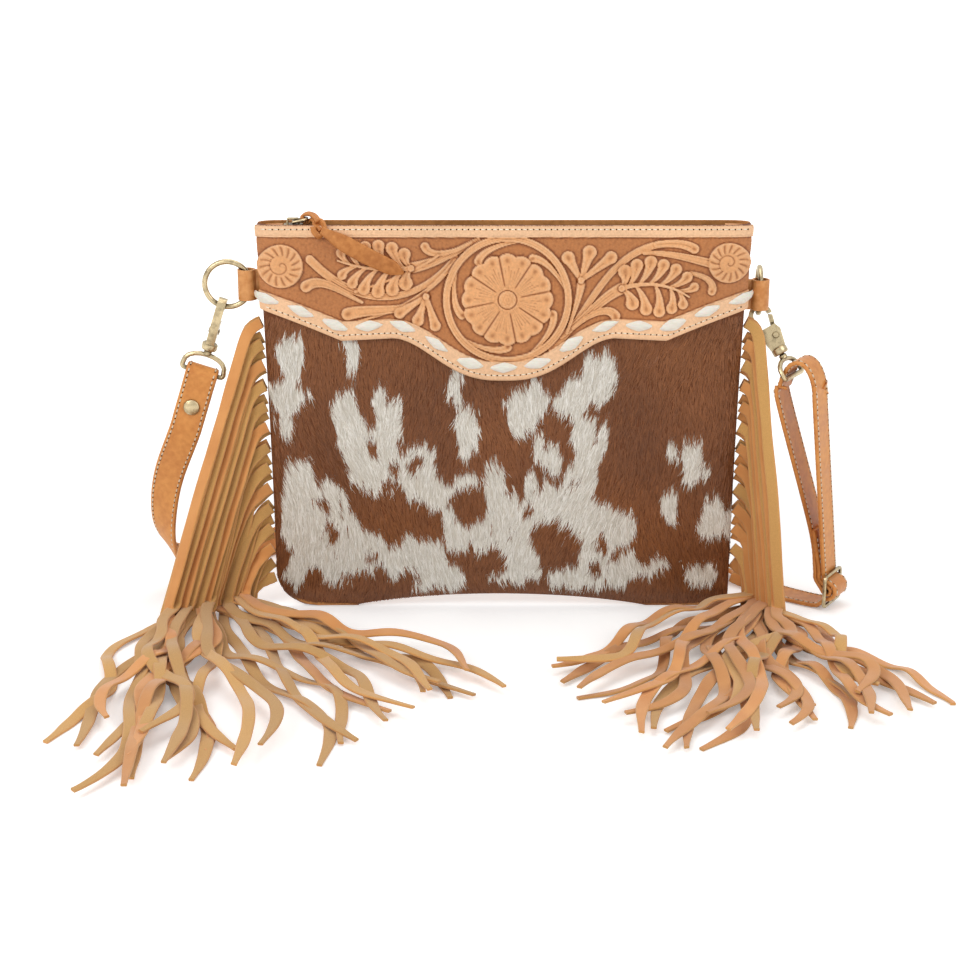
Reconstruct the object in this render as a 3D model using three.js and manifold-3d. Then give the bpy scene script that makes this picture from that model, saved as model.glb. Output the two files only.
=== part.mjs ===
// Fringed leather crossbody bag: hide pouch, tooled yoke, side fringes, zip, snap hooks and strap.
// Millimetres, +Z up. The origin is on the floor, under the middle of the bag. The front faces -Y.
import * as THREE from 'three';
import { mergeVertices } from 'three/addons/utils/BufferGeometryUtils.js';
import Module from 'manifold-3d';

const wasm = await Module();
wasm.setup();

// Clearances
const SEAT_GAP = 0.3;
const YOKE_GAP = 0.7;

// Pouch
const BAG_HEIGHT = 238;
const TOP_HALF_WIDTH = 143;
const WAIST_INSET = 4.7;
const LEFT_CORNER_RADIUS = 24;
const RIGHT_CORNER_RADIUS = 8;
const BOTTOM_ARCH = 8;
const ARCH_HALF_SPAN = 88;
const FRONT_BULGE = 17;
const BACK_BULGE = 13;
const FULLEST_HEIGHT = 0.4;
const TOP_HALF_DEPTH = 8.6;
const REST_FLAT = 5;
const TOP_SQUARENESS = 26;
const HIDE_THICKNESS = 1.8;
const LINING_THICKNESS = 0.8;
const SEAM_HALF_GAP = 1.3;
const BOTTOM_SEAM_HALF_GAP = 0.2;
const SEAM_BLEND_LOW = 4;
const SEAM_BLEND_HIGH = 11;

// Yoke and its rawhide lace
const YOKE_THICKNESS = 2.6;
const YOKE_POINT_HALF_SPACING = 96;
const YOKE_SIDE_DROP = 49;
const YOKE_POINT_DROP = 66.5;
const YOKE_SHOULDER_DROP = 65;
const YOKE_BELLY_HALF_SPAN = 66;
const YOKE_BELLY_DROP = 90;
const CARVING_HEIGHT = 0.6;
const CARVING_ROOT = 0.6;
const FLOWER_X = 2;
const FLOWER_DROP = 42.4;
const FLOWER_RADIUS = 26;
const FLOWER_PETALS = 8;
const FLOWER_CENTRE = 4.6;
const VINE_RADIUS = 33.4;
const VINE_WIDTH = 3.2;
const STROKE_STEPS = 4;
const SWIRL_INSET = 15.5;
const SWIRL_DROP = 24;
const SWIRL_RADIUS = 11.5;
const LEAF_LENGTH = 42;
const LEAF_HALF_WIDTH = 11;
const LEFT_LEAF = [-54, 25];
const RIGHT_LEAF = [68, 35];
const LACE_MARGIN = 8.5;
const LACE_THICKNESS = 0.8;
const LACE_LIE = 0.15;
const LACE_WIDTH = 5;
const LACE_NECK_WIDTH = 1.4;
const LACE_STITCH = 13;
const LACE_STITCHES = 15;
const LACE_END_INSET = 13.3;
const LACE_PITCH = (2 * (TOP_HALF_WIDTH - LACE_END_INSET)) / (LACE_STITCHES - 1);

// Zip
const ZIP_DROP = 3;
const ZIP_THICKNESS = 1.4;
const ZIP_END_INSET = 7;
const ZIP_HALF_LENGTH = TOP_HALF_WIDTH - ZIP_END_INSET;
const TAPE_CLEARANCE = 0.8;
const TOOTH_PITCH = 8.4;
const TOOTH_REACH = 1;
const TAPE_TAPER = 12;
const SLIDER_LENGTH = 11;
const SLIDER_WIDTH = 8.4;
const SLIDER_PLATE = 1.2;
const SLIDER_INSET = 13.8;
const SLIDER_X = SLIDER_INSET - ZIP_HALF_LENGTH;
const BAIL_WIRE = 0.9;
const BAIL_HALF_WIDTH = 3.2;
const BAIL_REACH = 8;
const BAIL_LIFT = 12;
const BRIDGE_HEIGHT = 2.6;
const PULL_WIDTH = 10;
const PULL_THICKNESS = 2.2;
const PULL_LENGTH = 62;
const PULL_ANGLE = 28;
const PULL_CLEARANCE = 1.6;
const END_TAB_LENGTH = 10;
const END_TAB_THICKNESS = 1;
const END_TAB_HALF_DEPTH = 3.1;

// Rings and their tabs
const RING_RADIUS = 13.4;
const RING_WIRE = 1.65;
const TAB_HEIGHT = 18;
const TAB_LEATHER = 1.3;
const TAB_REACH = 8;
const TAB_SEAM_DEPTH = 5;
const TAB_TONGUE = 1.8;
const LEFT_TAB_Z = 201.5;
const RIGHT_TAB_Z = 195.5;
const RIGHT_RING_SWING = 86;

// Snap hooks, in the hook's own frame: +Y towards the ring, the ring's wire at the origin
const HOOK_THICKNESS = 5;
const HOOK_BOW_INNER = 4.2;
const HOOK_BOW_METAL = 2.8;
const HOOK_BODY_TOP = -10.2;
const HOOK_BODY_BOTTOM = -24;
const GATE_PIVOT_X = 2.2;
const GATE_PIVOT_Y = -16.5;
const GATE_THICKNESS = 1.8;
const GATE_NOSE_THICKNESS = 3.6;
const GATE_WIDTH = 2.6;
const PIN_RADIUS = 0.9;
const PIN_HEAD_RADIUS = 1.9;
const PIN_HEAD_HEIGHT = 0.5;
const COLLAR_RADIUS = 4.7;
const COLLAR_BOTTOM = -28;
const POST_RADIUS = 1.6;
const POST_HEAD_RADIUS = 2.6;
const EYE_WIRE = 1.5;
const EYE_HALF_WIDTH = 12.6;
const EYE_TOP = -31.4;
const EYE_SHOULDER = -40.9;
const EYE_BAR = -42.5;
const LEFT_HOOK_LEAN = 18;
const RIGHT_HOOK_OUT = 0.7;

// Strap, its rivet and its slider buckle
const STRAP_WIDTH = 19;
const STRAP_THICKNESS = 2.4;
const STRAP_TAIL = 38;
const RIVET_DOWN = 22;
const RIVET_CAP = 5;
const RIVET_BACK_CAP = 4;
const RIVET_SHANK = 1.8;
const BUCKLE_X = 202;
const BUCKLE_Y = -2;
const BUCKLE_WIRE = 1.2;
const BUCKLE_BAR_PITCH = 9.5;
const BUCKLE_SIDE_CLEARANCE = 1.4;
const LOOP_TURN = 32;
const LOOP_HALF_WIDTH = 11.8;
const LOOP_CROWN = 24.7;
const LOOP_CROSSING = 40;
const LOOP_CLOSED = 40;
const SEWN_TAIL_TOP = 50;
const FLOOR_REACH = 262;

// Fringe
const STRANDS = 18;
const FRINGE_TOP = 184;
const FRINGE_BOTTOM = 14;
const FRINGE_THICKNESS = 1.5;
const STRAND_GAP = 2.6;
const STRAND_LENGTH = 385;
const HEADER_DEPTH = 6;
const SIDE_REACH = 243;
const FRINGE_LAYERS = 5;
const LAYER_STEP = 2.1;
const HANG_LEAN = 0.18;
const LEFT_SPREAD = 0.31;
const RIGHT_SPREAD = 0.1;
const HANG_TURN = 20;
const FLOOR_WAVES = 2;
const STRAND_HALF = 3;
const BAG_CLEARANCE = 14;

const V = (x, y, z) => new THREE.Vector3(x, y, z);
const radians = THREE.MathUtils.degToRad;
const lerp = THREE.MathUtils.lerp;
const smoothstep = THREE.MathUtils.smoothstep;
const UP = V(0, 0, 1);

// Closed meshes and manifold solids

function closedMesh(positions, index) {
  const geometry = new THREE.BufferGeometry();
  geometry.setAttribute('position', new THREE.Float32BufferAttribute(positions, 3));
  geometry.setIndex(index);
  return facingOut(geometry);
}

function facingOut(geometry) {
  const p = geometry.attributes.position;
  const index = geometry.index.array;
  const a = V(0, 0, 0);
  const b = V(0, 0, 0);
  const c = V(0, 0, 0);
  let volume = 0;
  for (let i = 0; i < index.length; i += 3) {
    a.fromBufferAttribute(p, index[i]);
    b.fromBufferAttribute(p, index[i + 1]);
    c.fromBufferAttribute(p, index[i + 2]);
    volume += a.dot(b.cross(c));
  }
  if (volume < 0) {
    const flipped = Array.from(index);
    for (let i = 0; i < flipped.length; i += 3) {
      [flipped[i], flipped[i + 1]] = [flipped[i + 1], flipped[i]];
    }
    geometry.setIndex(flipped);
  }
  return geometry;
}

function solid(geometry) {
  const bare = geometry.clone();
  for (const name of ['normal', 'uv']) bare.deleteAttribute(name);
  const merged = mergeVertices(bare, 1e-4);
  return new wasm.Manifold(new wasm.Mesh({
    numProp: 3,
    vertProperties: new Float32Array(merged.attributes.position.array),
    triVerts: new Uint32Array(merged.index.array),
  }));
}

function geometryOf(manifold) {
  const mesh = manifold.getMesh();
  const geometry = new THREE.BufferGeometry();
  geometry.setAttribute('position', new THREE.BufferAttribute(new Float32Array(mesh.vertProperties), 3));
  geometry.setIndex(Array.from(mesh.triVerts));
  return geometry;
}

function joined(first, ...rest) {
  return geometryOf(rest.reduce((sum, next) => sum.add(solid(next)), solid(first)));
}

function cut(first, ...tools) {
  return geometryOf(tools.reduce((sum, next) => sum.subtract(solid(next)), solid(first)));
}

// Fills the closed pockets that a join leaves between touching strands: only the outer shell stays
function withoutPockets(geometry) {
  const index = geometry.index.array;
  const p = geometry.attributes.position;
  const owner = Array.from({ length: p.count }, (_, i) => i);
  const find = (i) => {
    while (owner[i] !== i) {
      owner[i] = owner[owner[i]];
      i = owner[i];
    }
    return i;
  };
  for (let i = 0; i < index.length; i += 3) {
    owner[find(index[i + 1])] = find(index[i]);
    owner[find(index[i + 2])] = find(index[i]);
  }
  const volumes = new Map();
  const a = V(0, 0, 0);
  const b = V(0, 0, 0);
  const c = V(0, 0, 0);
  for (let i = 0; i < index.length; i += 3) {
    a.fromBufferAttribute(p, index[i]);
    b.fromBufferAttribute(p, index[i + 1]);
    c.fromBufferAttribute(p, index[i + 2]);
    const shell = find(index[i]);
    volumes.set(shell, (volumes.get(shell) ?? 0) + a.dot(b.cross(c)));
  }
  const largest = Math.max(...volumes.values());
  const kept = [];
  for (let i = 0; i < index.length; i += 3) {
    if (volumes.get(find(index[i])) === largest) kept.push(index[i], index[i + 1], index[i + 2]);
  }
  geometry.setIndex(kept);
  return geometry;
}

// A section swept through stations { at, across, through, scale }; a loop has no end caps
function sweep(stations, section, loop = false) {
  const positions = [];
  const index = [];
  const sides = section.length;
  for (const station of stations) {
    for (const [a, b] of section) {
      const point = station.at.clone();
      point.addScaledVector(station.across, a * (station.scale ?? 1));
      point.addScaledVector(station.through, b);
      positions.push(point.x, point.y, point.z);
    }
  }
  const spans = loop ? stations.length : stations.length - 1;
  for (let i = 0; i < spans; i += 1) {
    const here = i * sides;
    const next = ((i + 1) % stations.length) * sides;
    for (let j = 0; j < sides; j += 1) {
      const k = (j + 1) % sides;
      index.push(here + j, here + k, next + k, here + j, next + k, next + j);
    }
  }
  if (!loop) {
    const last = (stations.length - 1) * sides;
    for (let j = 1; j < sides - 1; j += 1) {
      index.push(0, j + 1, j, last, last + j, last + j + 1);
    }
  }
  return closedMesh(positions, index);
}

function rectangle(width, thickness) {
  const w = width / 2;
  const t = thickness / 2;
  return [[-w, -t], [w, -t], [w, t], [-w, t]];
}

function roundSection(radius, sides) {
  return Array.from({ length: sides }, (_, i) => {
    const angle = (2 * Math.PI * i) / sides;
    return [radius * Math.cos(angle), radius * Math.sin(angle)];
  });
}

// Stations along points, with the width direction given at each point
function stationsAlong(points, widths, loop = false) {
  const count = points.length;
  return points.map((at, i) => {
    const before = points[loop ? (i + count - 1) % count : Math.max(i - 1, 0)];
    const after = points[loop ? (i + 1) % count : Math.min(i + 1, count - 1)];
    const tangent = after.clone().sub(before).normalize();
    const across = widths[i].clone();
    across.addScaledVector(tangent, -across.dot(tangent)).normalize();
    return { at, across, through: tangent.clone().cross(across) };
  });
}

// A sheet between two grids of points with the same rows and columns
function sheet(outer, inner) {
  const rows = outer.length;
  const columns = outer[0].length;
  const positions = [];
  for (const grid of [outer, inner]) {
    for (const row of grid) for (const p of row) positions.push(p.x, p.y, p.z);
  }
  const id = (side, r, c) => side * rows * columns + r * columns + c;
  const index = [];
  const quad = (a, b, c, d) => index.push(a, b, c, a, c, d);
  for (let r = 0; r < rows - 1; r += 1) {
    for (let c = 0; c < columns - 1; c += 1) {
      quad(id(0, r, c), id(0, r, c + 1), id(0, r + 1, c + 1), id(0, r + 1, c));
      quad(id(1, r, c), id(1, r + 1, c), id(1, r + 1, c + 1), id(1, r, c + 1));
    }
  }
  for (let c = 0; c < columns - 1; c += 1) {
    quad(id(0, 0, c), id(1, 0, c), id(1, 0, c + 1), id(0, 0, c + 1));
    quad(id(0, rows - 1, c), id(0, rows - 1, c + 1), id(1, rows - 1, c + 1), id(1, rows - 1, c));
  }
  for (let r = 0; r < rows - 1; r += 1) {
    quad(id(0, r, 0), id(0, r + 1, 0), id(1, r + 1, 0), id(1, r, 0));
    quad(id(0, r, columns - 1), id(1, r, columns - 1), id(1, r + 1, columns - 1), id(0, r + 1, columns - 1));
  }
  return closedMesh(positions, index);
}

function extruded(shape, depth, segments = 8) {
  const geometry = new THREE.ExtrudeGeometry(shape, { depth, bevelEnabled: false, curveSegments: segments });
  return geometry.translate(0, 0, -depth / 2);
}

function lathed(profile, sides) {
  return new THREE.LatheGeometry(profile.map(([r, y]) => new THREE.Vector2(r, y)), sides);
}

const group = new THREE.Group();

function place(name, geometry, color, roughness, metalness = 0, parent = group) {
  const material = new THREE.MeshStandardMaterial({ color, roughness, metalness });
  const mesh = new THREE.Mesh(geometry, material);
  mesh.name = name;
  parent.add(mesh);
  return mesh;
}

// Pouch: the side, bottom and bulge of the front and back hides

function cornerCut(z, radius) {
  return z >= radius ? 0 : radius - Math.sqrt(radius ** 2 - (radius - z) ** 2);
}

function sideX(side, z) {
  const half = TOP_HALF_WIDTH - WAIST_INSET * (1 - (z / BAG_HEIGHT) ** 2);
  const radius = side < 0 ? LEFT_CORNER_RADIUS : RIGHT_CORNER_RADIUS;
  return side * (half - cornerCut(z, radius));
}

function bottomZ(x) {
  const share = Math.min(Math.abs(x) / ARCH_HALF_SPAN, 1);
  return BOTTOM_ARCH * (1 - share ** 2);
}

function seamGap(z) {
  return lerp(BOTTOM_SEAM_HALF_GAP, SEAM_HALF_GAP, smoothstep(z, SEAM_BLEND_LOW, SEAM_BLEND_HIGH));
}

function fullness(height, bulge) {
  if (height < FULLEST_HEIGHT) {
    return bulge * Math.sin((Math.PI / 2) * (height / FULLEST_HEIGHT)) ** 0.7;
  }
  const rise = (height - FULLEST_HEIGHT) / (1 - FULLEST_HEIGHT);
  return TOP_HALF_DEPTH + (bulge - TOP_HALF_DEPTH) * Math.cos((Math.PI / 2) * rise);
}

// Distance from the seam plane to the outside of the hide, at t from -1 to 1 across the bag
function depthAt(t, z, bulge) {
  const x = acrossX(t, z);
  const height = THREE.MathUtils.clamp((z - bottomZ(x)) / (BAG_HEIGHT - bottomZ(x)), 0, 1);
  const squareness = 2.4 + TOP_SQUARENESS * height ** 4;
  const lateral = Math.sqrt(Math.max(0, 1 - Math.abs(t) ** squareness));
  const seam = seamGap(z);
  return seam + (fullness(height, bulge) - seam * height) * lateral;
}

function acrossX(t, z) {
  return lerp(sideX(-1, z), sideX(1, z), (t + 1) / 2);
}

function hidePoint(t, z, facing, bulge) {
  return V(acrossX(t, z), facing * depthAt(t, z, bulge), z);
}

function hideNormal(t, z, facing, bulge) {
  const dt = 0.004;
  const dz = 0.5;
  const side = hidePoint(Math.min(t + dt, 1), z, facing, bulge)
    .sub(hidePoint(Math.max(t - dt, -1), z, facing, bulge));
  const rise = hidePoint(t, Math.min(z + dz, BAG_HEIGHT), facing, bulge)
    .sub(hidePoint(t, Math.max(z - dz, 0), facing, bulge));
  return side.cross(rise).multiplyScalar(-facing).normalize();
}

function clusteredColumns(count) {
  return Array.from({ length: count }, (_, i) => Math.sin((Math.PI / 2) * (-1 + (2 * i) / (count - 1))));
}

function hideGrids(facing, bulge, columns, heights, outerOffset, innerOffset) {
  const outer = [];
  const inner = [];
  heights.forEach((height, r) => {
    const outerRow = [];
    const innerRow = [];
    columns.forEach((t, c) => {
      const base = bottomZ(acrossX(t, 0));
      const z = lerp(base, BAG_HEIGHT, height);
      const onSide = c === 0 || c === columns.length - 1;
      const point = r < 2 ? restPoint(t, base, facing, r) : hidePoint(t, z, facing, bulge);
      const normal = hideNormal(t, Math.max(z, base + 1), facing, bulge);
      if (r === heights.length - 1) normal.z = 0;
      if (r < 2) normal.set(0, r === 0 ? 0 : facing * 0.3, -1);
      if (onSide) normal.y = 0;
      if (onSide && r < 2) normal.x = Math.sign(t);
      normal.normalize();
      outerRow.push(clearOfSeam(point.clone().addScaledVector(normal, outerOffset), facing));
      innerRow.push(clearOfSeam(point.clone().addScaledVector(normal, innerOffset), facing));
    });
    outer.push(outerRow);
    inner.push(innerRow);
  });
  return [outer, inner];
}

function clearOfSeam(point, facing) {
  point.y = facing * Math.max(Math.abs(point.y), seamGap(point.z));
  return point;
}

// The bottom seam and the flat strip beside it that the bag rests on
function restPoint(t, base, facing, row) {
  const fade = Math.sqrt(Math.max(0, 1 - Math.abs(t) ** 6));
  return V(acrossX(t, 0), facing * (BOTTOM_SEAM_HALF_GAP + row * REST_FLAT * fade), base);
}

const PANEL_COLUMNS = clusteredColumns(25);
const PANEL_HEIGHTS = [0, 0, 0.05, 0.14, 0.28, 0.46, 0.66, 0.84, 1];
const BACK_COLUMNS = clusteredColumns(17);
const BACK_HEIGHTS = [0, 0, 0.06, 0.18, 0.4, 0.7, 1];

function hidePanel(facing, bulge, columns, heights) {
  return sheet(...hideGrids(facing, bulge, columns, heights, 0, -HIDE_THICKNESS));
}

place('front_panel', hidePanel(-1, FRONT_BULGE, PANEL_COLUMNS, PANEL_HEIGHTS), 0x7a4628, 0.7);
place('back_panel', hidePanel(1, BACK_BULGE, BACK_COLUMNS, BACK_HEIGHTS), 0xb9763f, 0.6);

// Lining: an open pouch inside the hides
function pouchForm(inset, rimZ) {
  const columns = clusteredColumns(11).map((t) => t * 0.985);
  const heights = [0.05, 0.13, 0.3, 0.5, 0.75, 1];
  const grids = [[-1, FRONT_BULGE], [1, BACK_BULGE]].map(([facing, bulge]) => heights.map((height) => (
    columns.map((t) => {
      const base = bottomZ(acrossX(t, 0));
      const z = lerp(base, rimZ, height);
      const depth = depthAt(t, z, bulge) - inset;
      const edge = 1 - Math.abs(t) / 0.985 < 0.001;
      const lift = height === heights[0] ? inset : 0;
      const x = acrossX(t, z) * (1 - (inset + HEADER_DEPTH) / TOP_HALF_WIDTH);
      return V(x, facing * (edge ? 0.6 : Math.max(depth, 0.7)), z + lift);
    })
  )));
  return sheet(grids[0], grids[1]);
}

const LINING_RIM = BAG_HEIGHT - ZIP_DROP - 4;
const liningOutside = pouchForm(HIDE_THICKNESS + 1.1, LINING_RIM);
const liningInside = pouchForm(HIDE_THICKNESS + 1.1 + LINING_THICKNESS, LINING_RIM + 0.5);
place('lining', cut(liningOutside, liningInside), 0x8a6a4a, 0.9);

// Yoke: its scalloped lower edge, as a drop below the bag's top at x

function yokeDrop(x) {
  const side = Math.abs(x);
  if (side > YOKE_POINT_HALF_SPACING) {
    const t = Math.max(TOP_HALF_WIDTH - side, 0) / (TOP_HALF_WIDTH - YOKE_POINT_HALF_SPACING);
    return lerp(YOKE_SIDE_DROP, YOKE_POINT_DROP, t ** 1.15);
  }
  if (side > YOKE_BELLY_HALF_SPAN) {
    const t = (YOKE_POINT_HALF_SPACING - side) / (YOKE_POINT_HALF_SPACING - YOKE_BELLY_HALF_SPAN);
    return lerp(YOKE_POINT_DROP, YOKE_SHOULDER_DROP, t);
  }
  const share = (side / YOKE_BELLY_HALF_SPAN) ** 1.35;
  return lerp(YOKE_SHOULDER_DROP, YOKE_BELLY_DROP, 0.5 + 0.5 * Math.cos(Math.PI * share));
}

function tFromX(x, z) {
  const left = sideX(-1, z);
  return (2 * (x - left)) / (sideX(1, z) - left) - 1;
}

// A point over the front hide, lifted from its outside
function overHide(x, z, lift) {
  const t = THREE.MathUtils.clamp(tFromX(x, z), -1, 1);
  const normal = hideNormal(t, z, -1, FRONT_BULGE);
  if (Math.abs(t) > 0.999) normal.y = 0;
  return hidePoint(t, z, -1, FRONT_BULGE).addScaledVector(normal.normalize(), lift);
}

function yokeGrid(lift) {
  const rows = 6;
  const trim = 1.2;
  return Array.from({ length: rows }, (_, r) => PANEL_COLUMNS.map((t) => {
    const share = r / (rows - 1);
    const xTop = acrossX(t, BAG_HEIGHT) * (1 - trim / TOP_HALF_WIDTH);
    const z = BAG_HEIGHT - yokeDrop(xTop) * (1 - share);
    const inside = t * (1 - trim / TOP_HALF_WIDTH);
    const normal = hideNormal(inside, z, -1, FRONT_BULGE);
    if (r === rows - 1) normal.z = 0;
    return hidePoint(inside, z, -1, FRONT_BULGE).addScaledVector(normal.normalize(), lift);
  }));
}

// Lace: over the yoke in pointed stitches, and under it between them
function laceSection(clearance) {
  return rectangle(1, LACE_THICKNESS + 2 * clearance);
}

function laceStations(clearance) {
  const over = YOKE_GAP + YOKE_THICKNESS + SEAT_GAP + LACE_LIE + LACE_THICKNESS / 2;
  const under = YOKE_GAP + LACE_THICKNESS / 2;
  const points = [];
  const widths = [];
  const scales = [];
  const add = (x, lift, wide) => {
    points.push(overHide(x, BAG_HEIGHT - yokeDrop(x) + LACE_MARGIN, lift));
    widths.push(UP);
    scales.push(wide + 2 * clearance);
  };
  for (let i = 0; i < LACE_STITCHES; i += 1) {
    const middle = (i - (LACE_STITCHES - 1) / 2) * LACE_PITCH;
    const half = LACE_STITCH / 2;
    add(middle - half - 1.6, under, LACE_NECK_WIDTH);
    add(middle - half, over, LACE_NECK_WIDTH);
    add(middle, over, LACE_WIDTH);
    add(middle + half, over, LACE_NECK_WIDTH);
    add(middle + half + 1.6, under, LACE_NECK_WIDTH);
  }
  return stationsAlong(points, widths).map((station, i) => ({ ...station, scale: scales[i] }));
}

// Carving: what stands proud of the beaten ground, as pads and strokes that follow the yoke
function onYoke(x, drop, height) {
  return overHide(x, BAG_HEIGHT - drop, YOKE_GAP + YOKE_THICKNESS + height);
}

// A pad round [x, drop, height] rings, the first ring being its middle point
function carvedPad(middle, rings) {
  const count = rings[0].length;
  const outline = rings[rings.length - 1];
  const points = [onYoke(...middle), ...rings.flat().map((p) => onYoke(...p)),
    ...outline.map(([x, drop]) => onYoke(x, drop, -CARVING_ROOT)), onYoke(middle[0], middle[1], -CARVING_ROOT)];
  const index = [];
  const id = (ring, i) => 1 + ring * count + (i % count);
  const last = points.length - 1;
  for (let i = 0; i < count; i += 1) {
    index.push(0, id(0, i), id(0, i + 1), last, id(rings.length, i + 1), id(rings.length, i));
    for (let ring = 0; ring < rings.length; ring += 1) {
      index.push(id(ring, i), id(ring + 1, i), id(ring + 1, i + 1), id(ring, i), id(ring + 1, i + 1), id(ring, i + 1));
    }
  }
  return closedMesh(points.flatMap((p) => [p.x, p.y, p.z]), index);
}

function roundPad(x, drop, radius, sides, height) {
  const ring = Array.from({ length: sides }, (_, i) => {
    const angle = (2 * Math.PI * i) / sides;
    return [x + radius * Math.cos(angle), drop + radius * Math.sin(angle), height];
  });
  return carvedPad([x, drop, height + 0.2], [ring]);
}

// Each petal has two lips with a notch between them, and dips where it meets the next
function flowerPad() {
  const steps = [[0, 0.78, 0.1], [0.3, 1, 1.2], [0.7, 1, 1.2]];
  const ring = (share) => Array.from({ length: FLOWER_PETALS * steps.length }, (_, i) => {
    const [at, reach, lift] = steps[i % steps.length];
    const angle = (2 * Math.PI * (Math.floor(i / steps.length) + at)) / FLOWER_PETALS;
    const radius = FLOWER_RADIUS * reach * share;
    return [FLOWER_X + radius * Math.cos(angle), FLOWER_DROP + radius * Math.sin(angle), lift * CARVING_HEIGHT];
  });
  return carvedPad([FLOWER_X, FLOWER_DROP, 0.4], [ring(0.3), ring(1)]);
}

// A stroke from one end to the other through two guide points, from thick to thin
function carvedStroke(from, guideA, guideB, to, thick, thin) {
  const curve = new THREE.CubicBezierCurve(...[from, guideA, guideB, to].map(([x, drop]) => new THREE.Vector2(x, drop)));
  const flat = curve.getPoints(STROKE_STEPS);
  const points = flat.map((p) => onYoke(p.x, p.y, (CARVING_HEIGHT - CARVING_ROOT) / 2));
  const widths = flat.map((p, i) => {
    const ahead = curve.getTangent(i / STROKE_STEPS);
    return V(-ahead.y, 0, -ahead.x);
  });
  const stations = stationsAlong(points, widths);
  return sweep(stations.map((station, i) => ({ ...station, scale: lerp(thick, thin, i / STROKE_STEPS) })),
    rectangle(2, CARVING_HEIGHT + CARVING_ROOT));
}

function vineRing() {
  const sides = 24;
  const points = [];
  const widths = [];
  for (let i = 0; i < sides; i += 1) {
    const angle = (2 * Math.PI * i) / sides;
    points.push(onYoke(FLOWER_X + VINE_RADIUS * Math.cos(angle), FLOWER_DROP + VINE_RADIUS * Math.sin(angle),
      (CARVING_HEIGHT - CARVING_ROOT) / 2));
    widths.push(V(Math.cos(angle), 0, -Math.sin(angle)));
  }
  return sweep(stationsAlong(points, widths, true), rectangle(VINE_WIDTH, CARVING_HEIGHT + CARVING_ROOT), true);
}

// A leaf of round lobes on both sides of a midrib that runs level from its stem
function lobedLeaf([stem, drop], reach) {
  const lobes = 4;
  const half = [];
  for (let i = 0; i <= lobes; i += 1) {
    const swell = Math.sin(Math.PI * (0.2 + 0.16 * i));
    half.push([stem + (reach * (i + 0.2)) / (lobes + 0.4), LEAF_HALF_WIDTH * 0.45]);
    if (i < lobes) half.push([stem + (reach * (i + 0.7)) / (lobes + 0.4), LEAF_HALF_WIDTH * swell]);
  }
  const upper = half.map(([x, w]) => [x, drop - w, CARVING_HEIGHT]);
  const lower = half.reverse().map(([x, w]) => [x, drop + w, CARVING_HEIGHT]);
  return carvedPad([stem + reach / 2, drop, CARVING_HEIGHT + 0.2], [[...upper, ...lower]]);
}

// Stems and turned leaves: start, two guides and end as [x, drop], then thick and thin
const SCROLL_STROKES = [
  [[-28, 18], [-49, 45], [-82, 50], [-110, 22], 1.6, 2.2], [[-15, 8.6], [-28, 15], [-40, 21.7], [-52, 24], 1.6, 2.6],
  [[-46, 41], [-57.5, 50], [-76.7, 46.7], [-89, 50], 1.2, 2.8], [[28, 69], [48, 54], [56, 16], [92, 11], 1.8, 2.2],
  [[34, 60], [48, 51], [56, 41], [66, 36], 1.6, 2.6], [[81, 15.7], [96, 15.3], [109, 18], [120, 21], 1.3, 2],
];

const carving = [
  flowerPad(), roundPad(FLOWER_X, FLOWER_DROP, FLOWER_CENTRE, 10, 1.1), vineRing(),
  lobedLeaf(LEFT_LEAF, -LEAF_LENGTH), lobedLeaf(RIGHT_LEAF, LEAF_LENGTH),
  roundPad(SWIRL_INSET - TOP_HALF_WIDTH, SWIRL_DROP, SWIRL_RADIUS, 12, CARVING_HEIGHT),
  roundPad(TOP_HALF_WIDTH - SWIRL_INSET, SWIRL_DROP, SWIRL_RADIUS, 12, CARVING_HEIGHT),
  ...SCROLL_STROKES.map((stroke) => carvedStroke(...stroke)),
];
const yokeBlank = sheet(yokeGrid(YOKE_GAP + YOKE_THICKNESS), yokeGrid(YOKE_GAP));
const laceChannel = sweep(laceStations(SEAT_GAP), laceSection(SEAT_GAP));
place('yoke', joined(cut(yokeBlank, laceChannel), ...carving), 0xe3a26c, 0.55);
place('yoke_lace', sweep(laceStations(0), laceSection(0)), 0xeee7dc, 0.6);

// Zip: two toothed tapes that mesh, end tabs, slider, bail and leather pull

const ZIP_Z = BAG_HEIGHT - ZIP_DROP;

function zipTape(facing) {
  const teeth = Math.floor((2 * ZIP_HALF_LENGTH - SLIDER_LENGTH) / TOOTH_PITCH);
  const rootY = TOOTH_REACH + 0.35;
  const outerY = TOP_HALF_DEPTH - HIDE_THICKNESS - TAPE_CLEARANCE;
  const first = SLIDER_X + 2;
  const toothHalf = TOOTH_PITCH / 4 - SEAT_GAP / 2;
  const shape = new THREE.Shape();
  shape.moveTo(-ZIP_HALF_LENGTH + TAPE_TAPER, outerY);
  shape.lineTo(-ZIP_HALF_LENGTH, outerY * 0.5);
  shape.lineTo(-ZIP_HALF_LENGTH, rootY);
  for (let i = 0; i < teeth; i += 1) {
    const x = first + (i + (facing < 0 ? 0 : 0.5)) * TOOTH_PITCH;
    if (x + toothHalf > ZIP_HALF_LENGTH - END_TAB_LENGTH) break;
    shape.lineTo(x - toothHalf, rootY);
    shape.lineTo(x - toothHalf, -TOOTH_REACH);
    shape.lineTo(x + toothHalf, -TOOTH_REACH);
    shape.lineTo(x + toothHalf, rootY);
  }
  shape.lineTo(ZIP_HALF_LENGTH, rootY);
  shape.lineTo(ZIP_HALF_LENGTH, outerY * 0.5);
  shape.lineTo(ZIP_HALF_LENGTH - TAPE_TAPER, outerY);
  shape.closePath();
  const geometry = extruded(shape, ZIP_THICKNESS);
  if (facing < 0) geometry.rotateX(Math.PI);
  return geometry;
}

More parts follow.
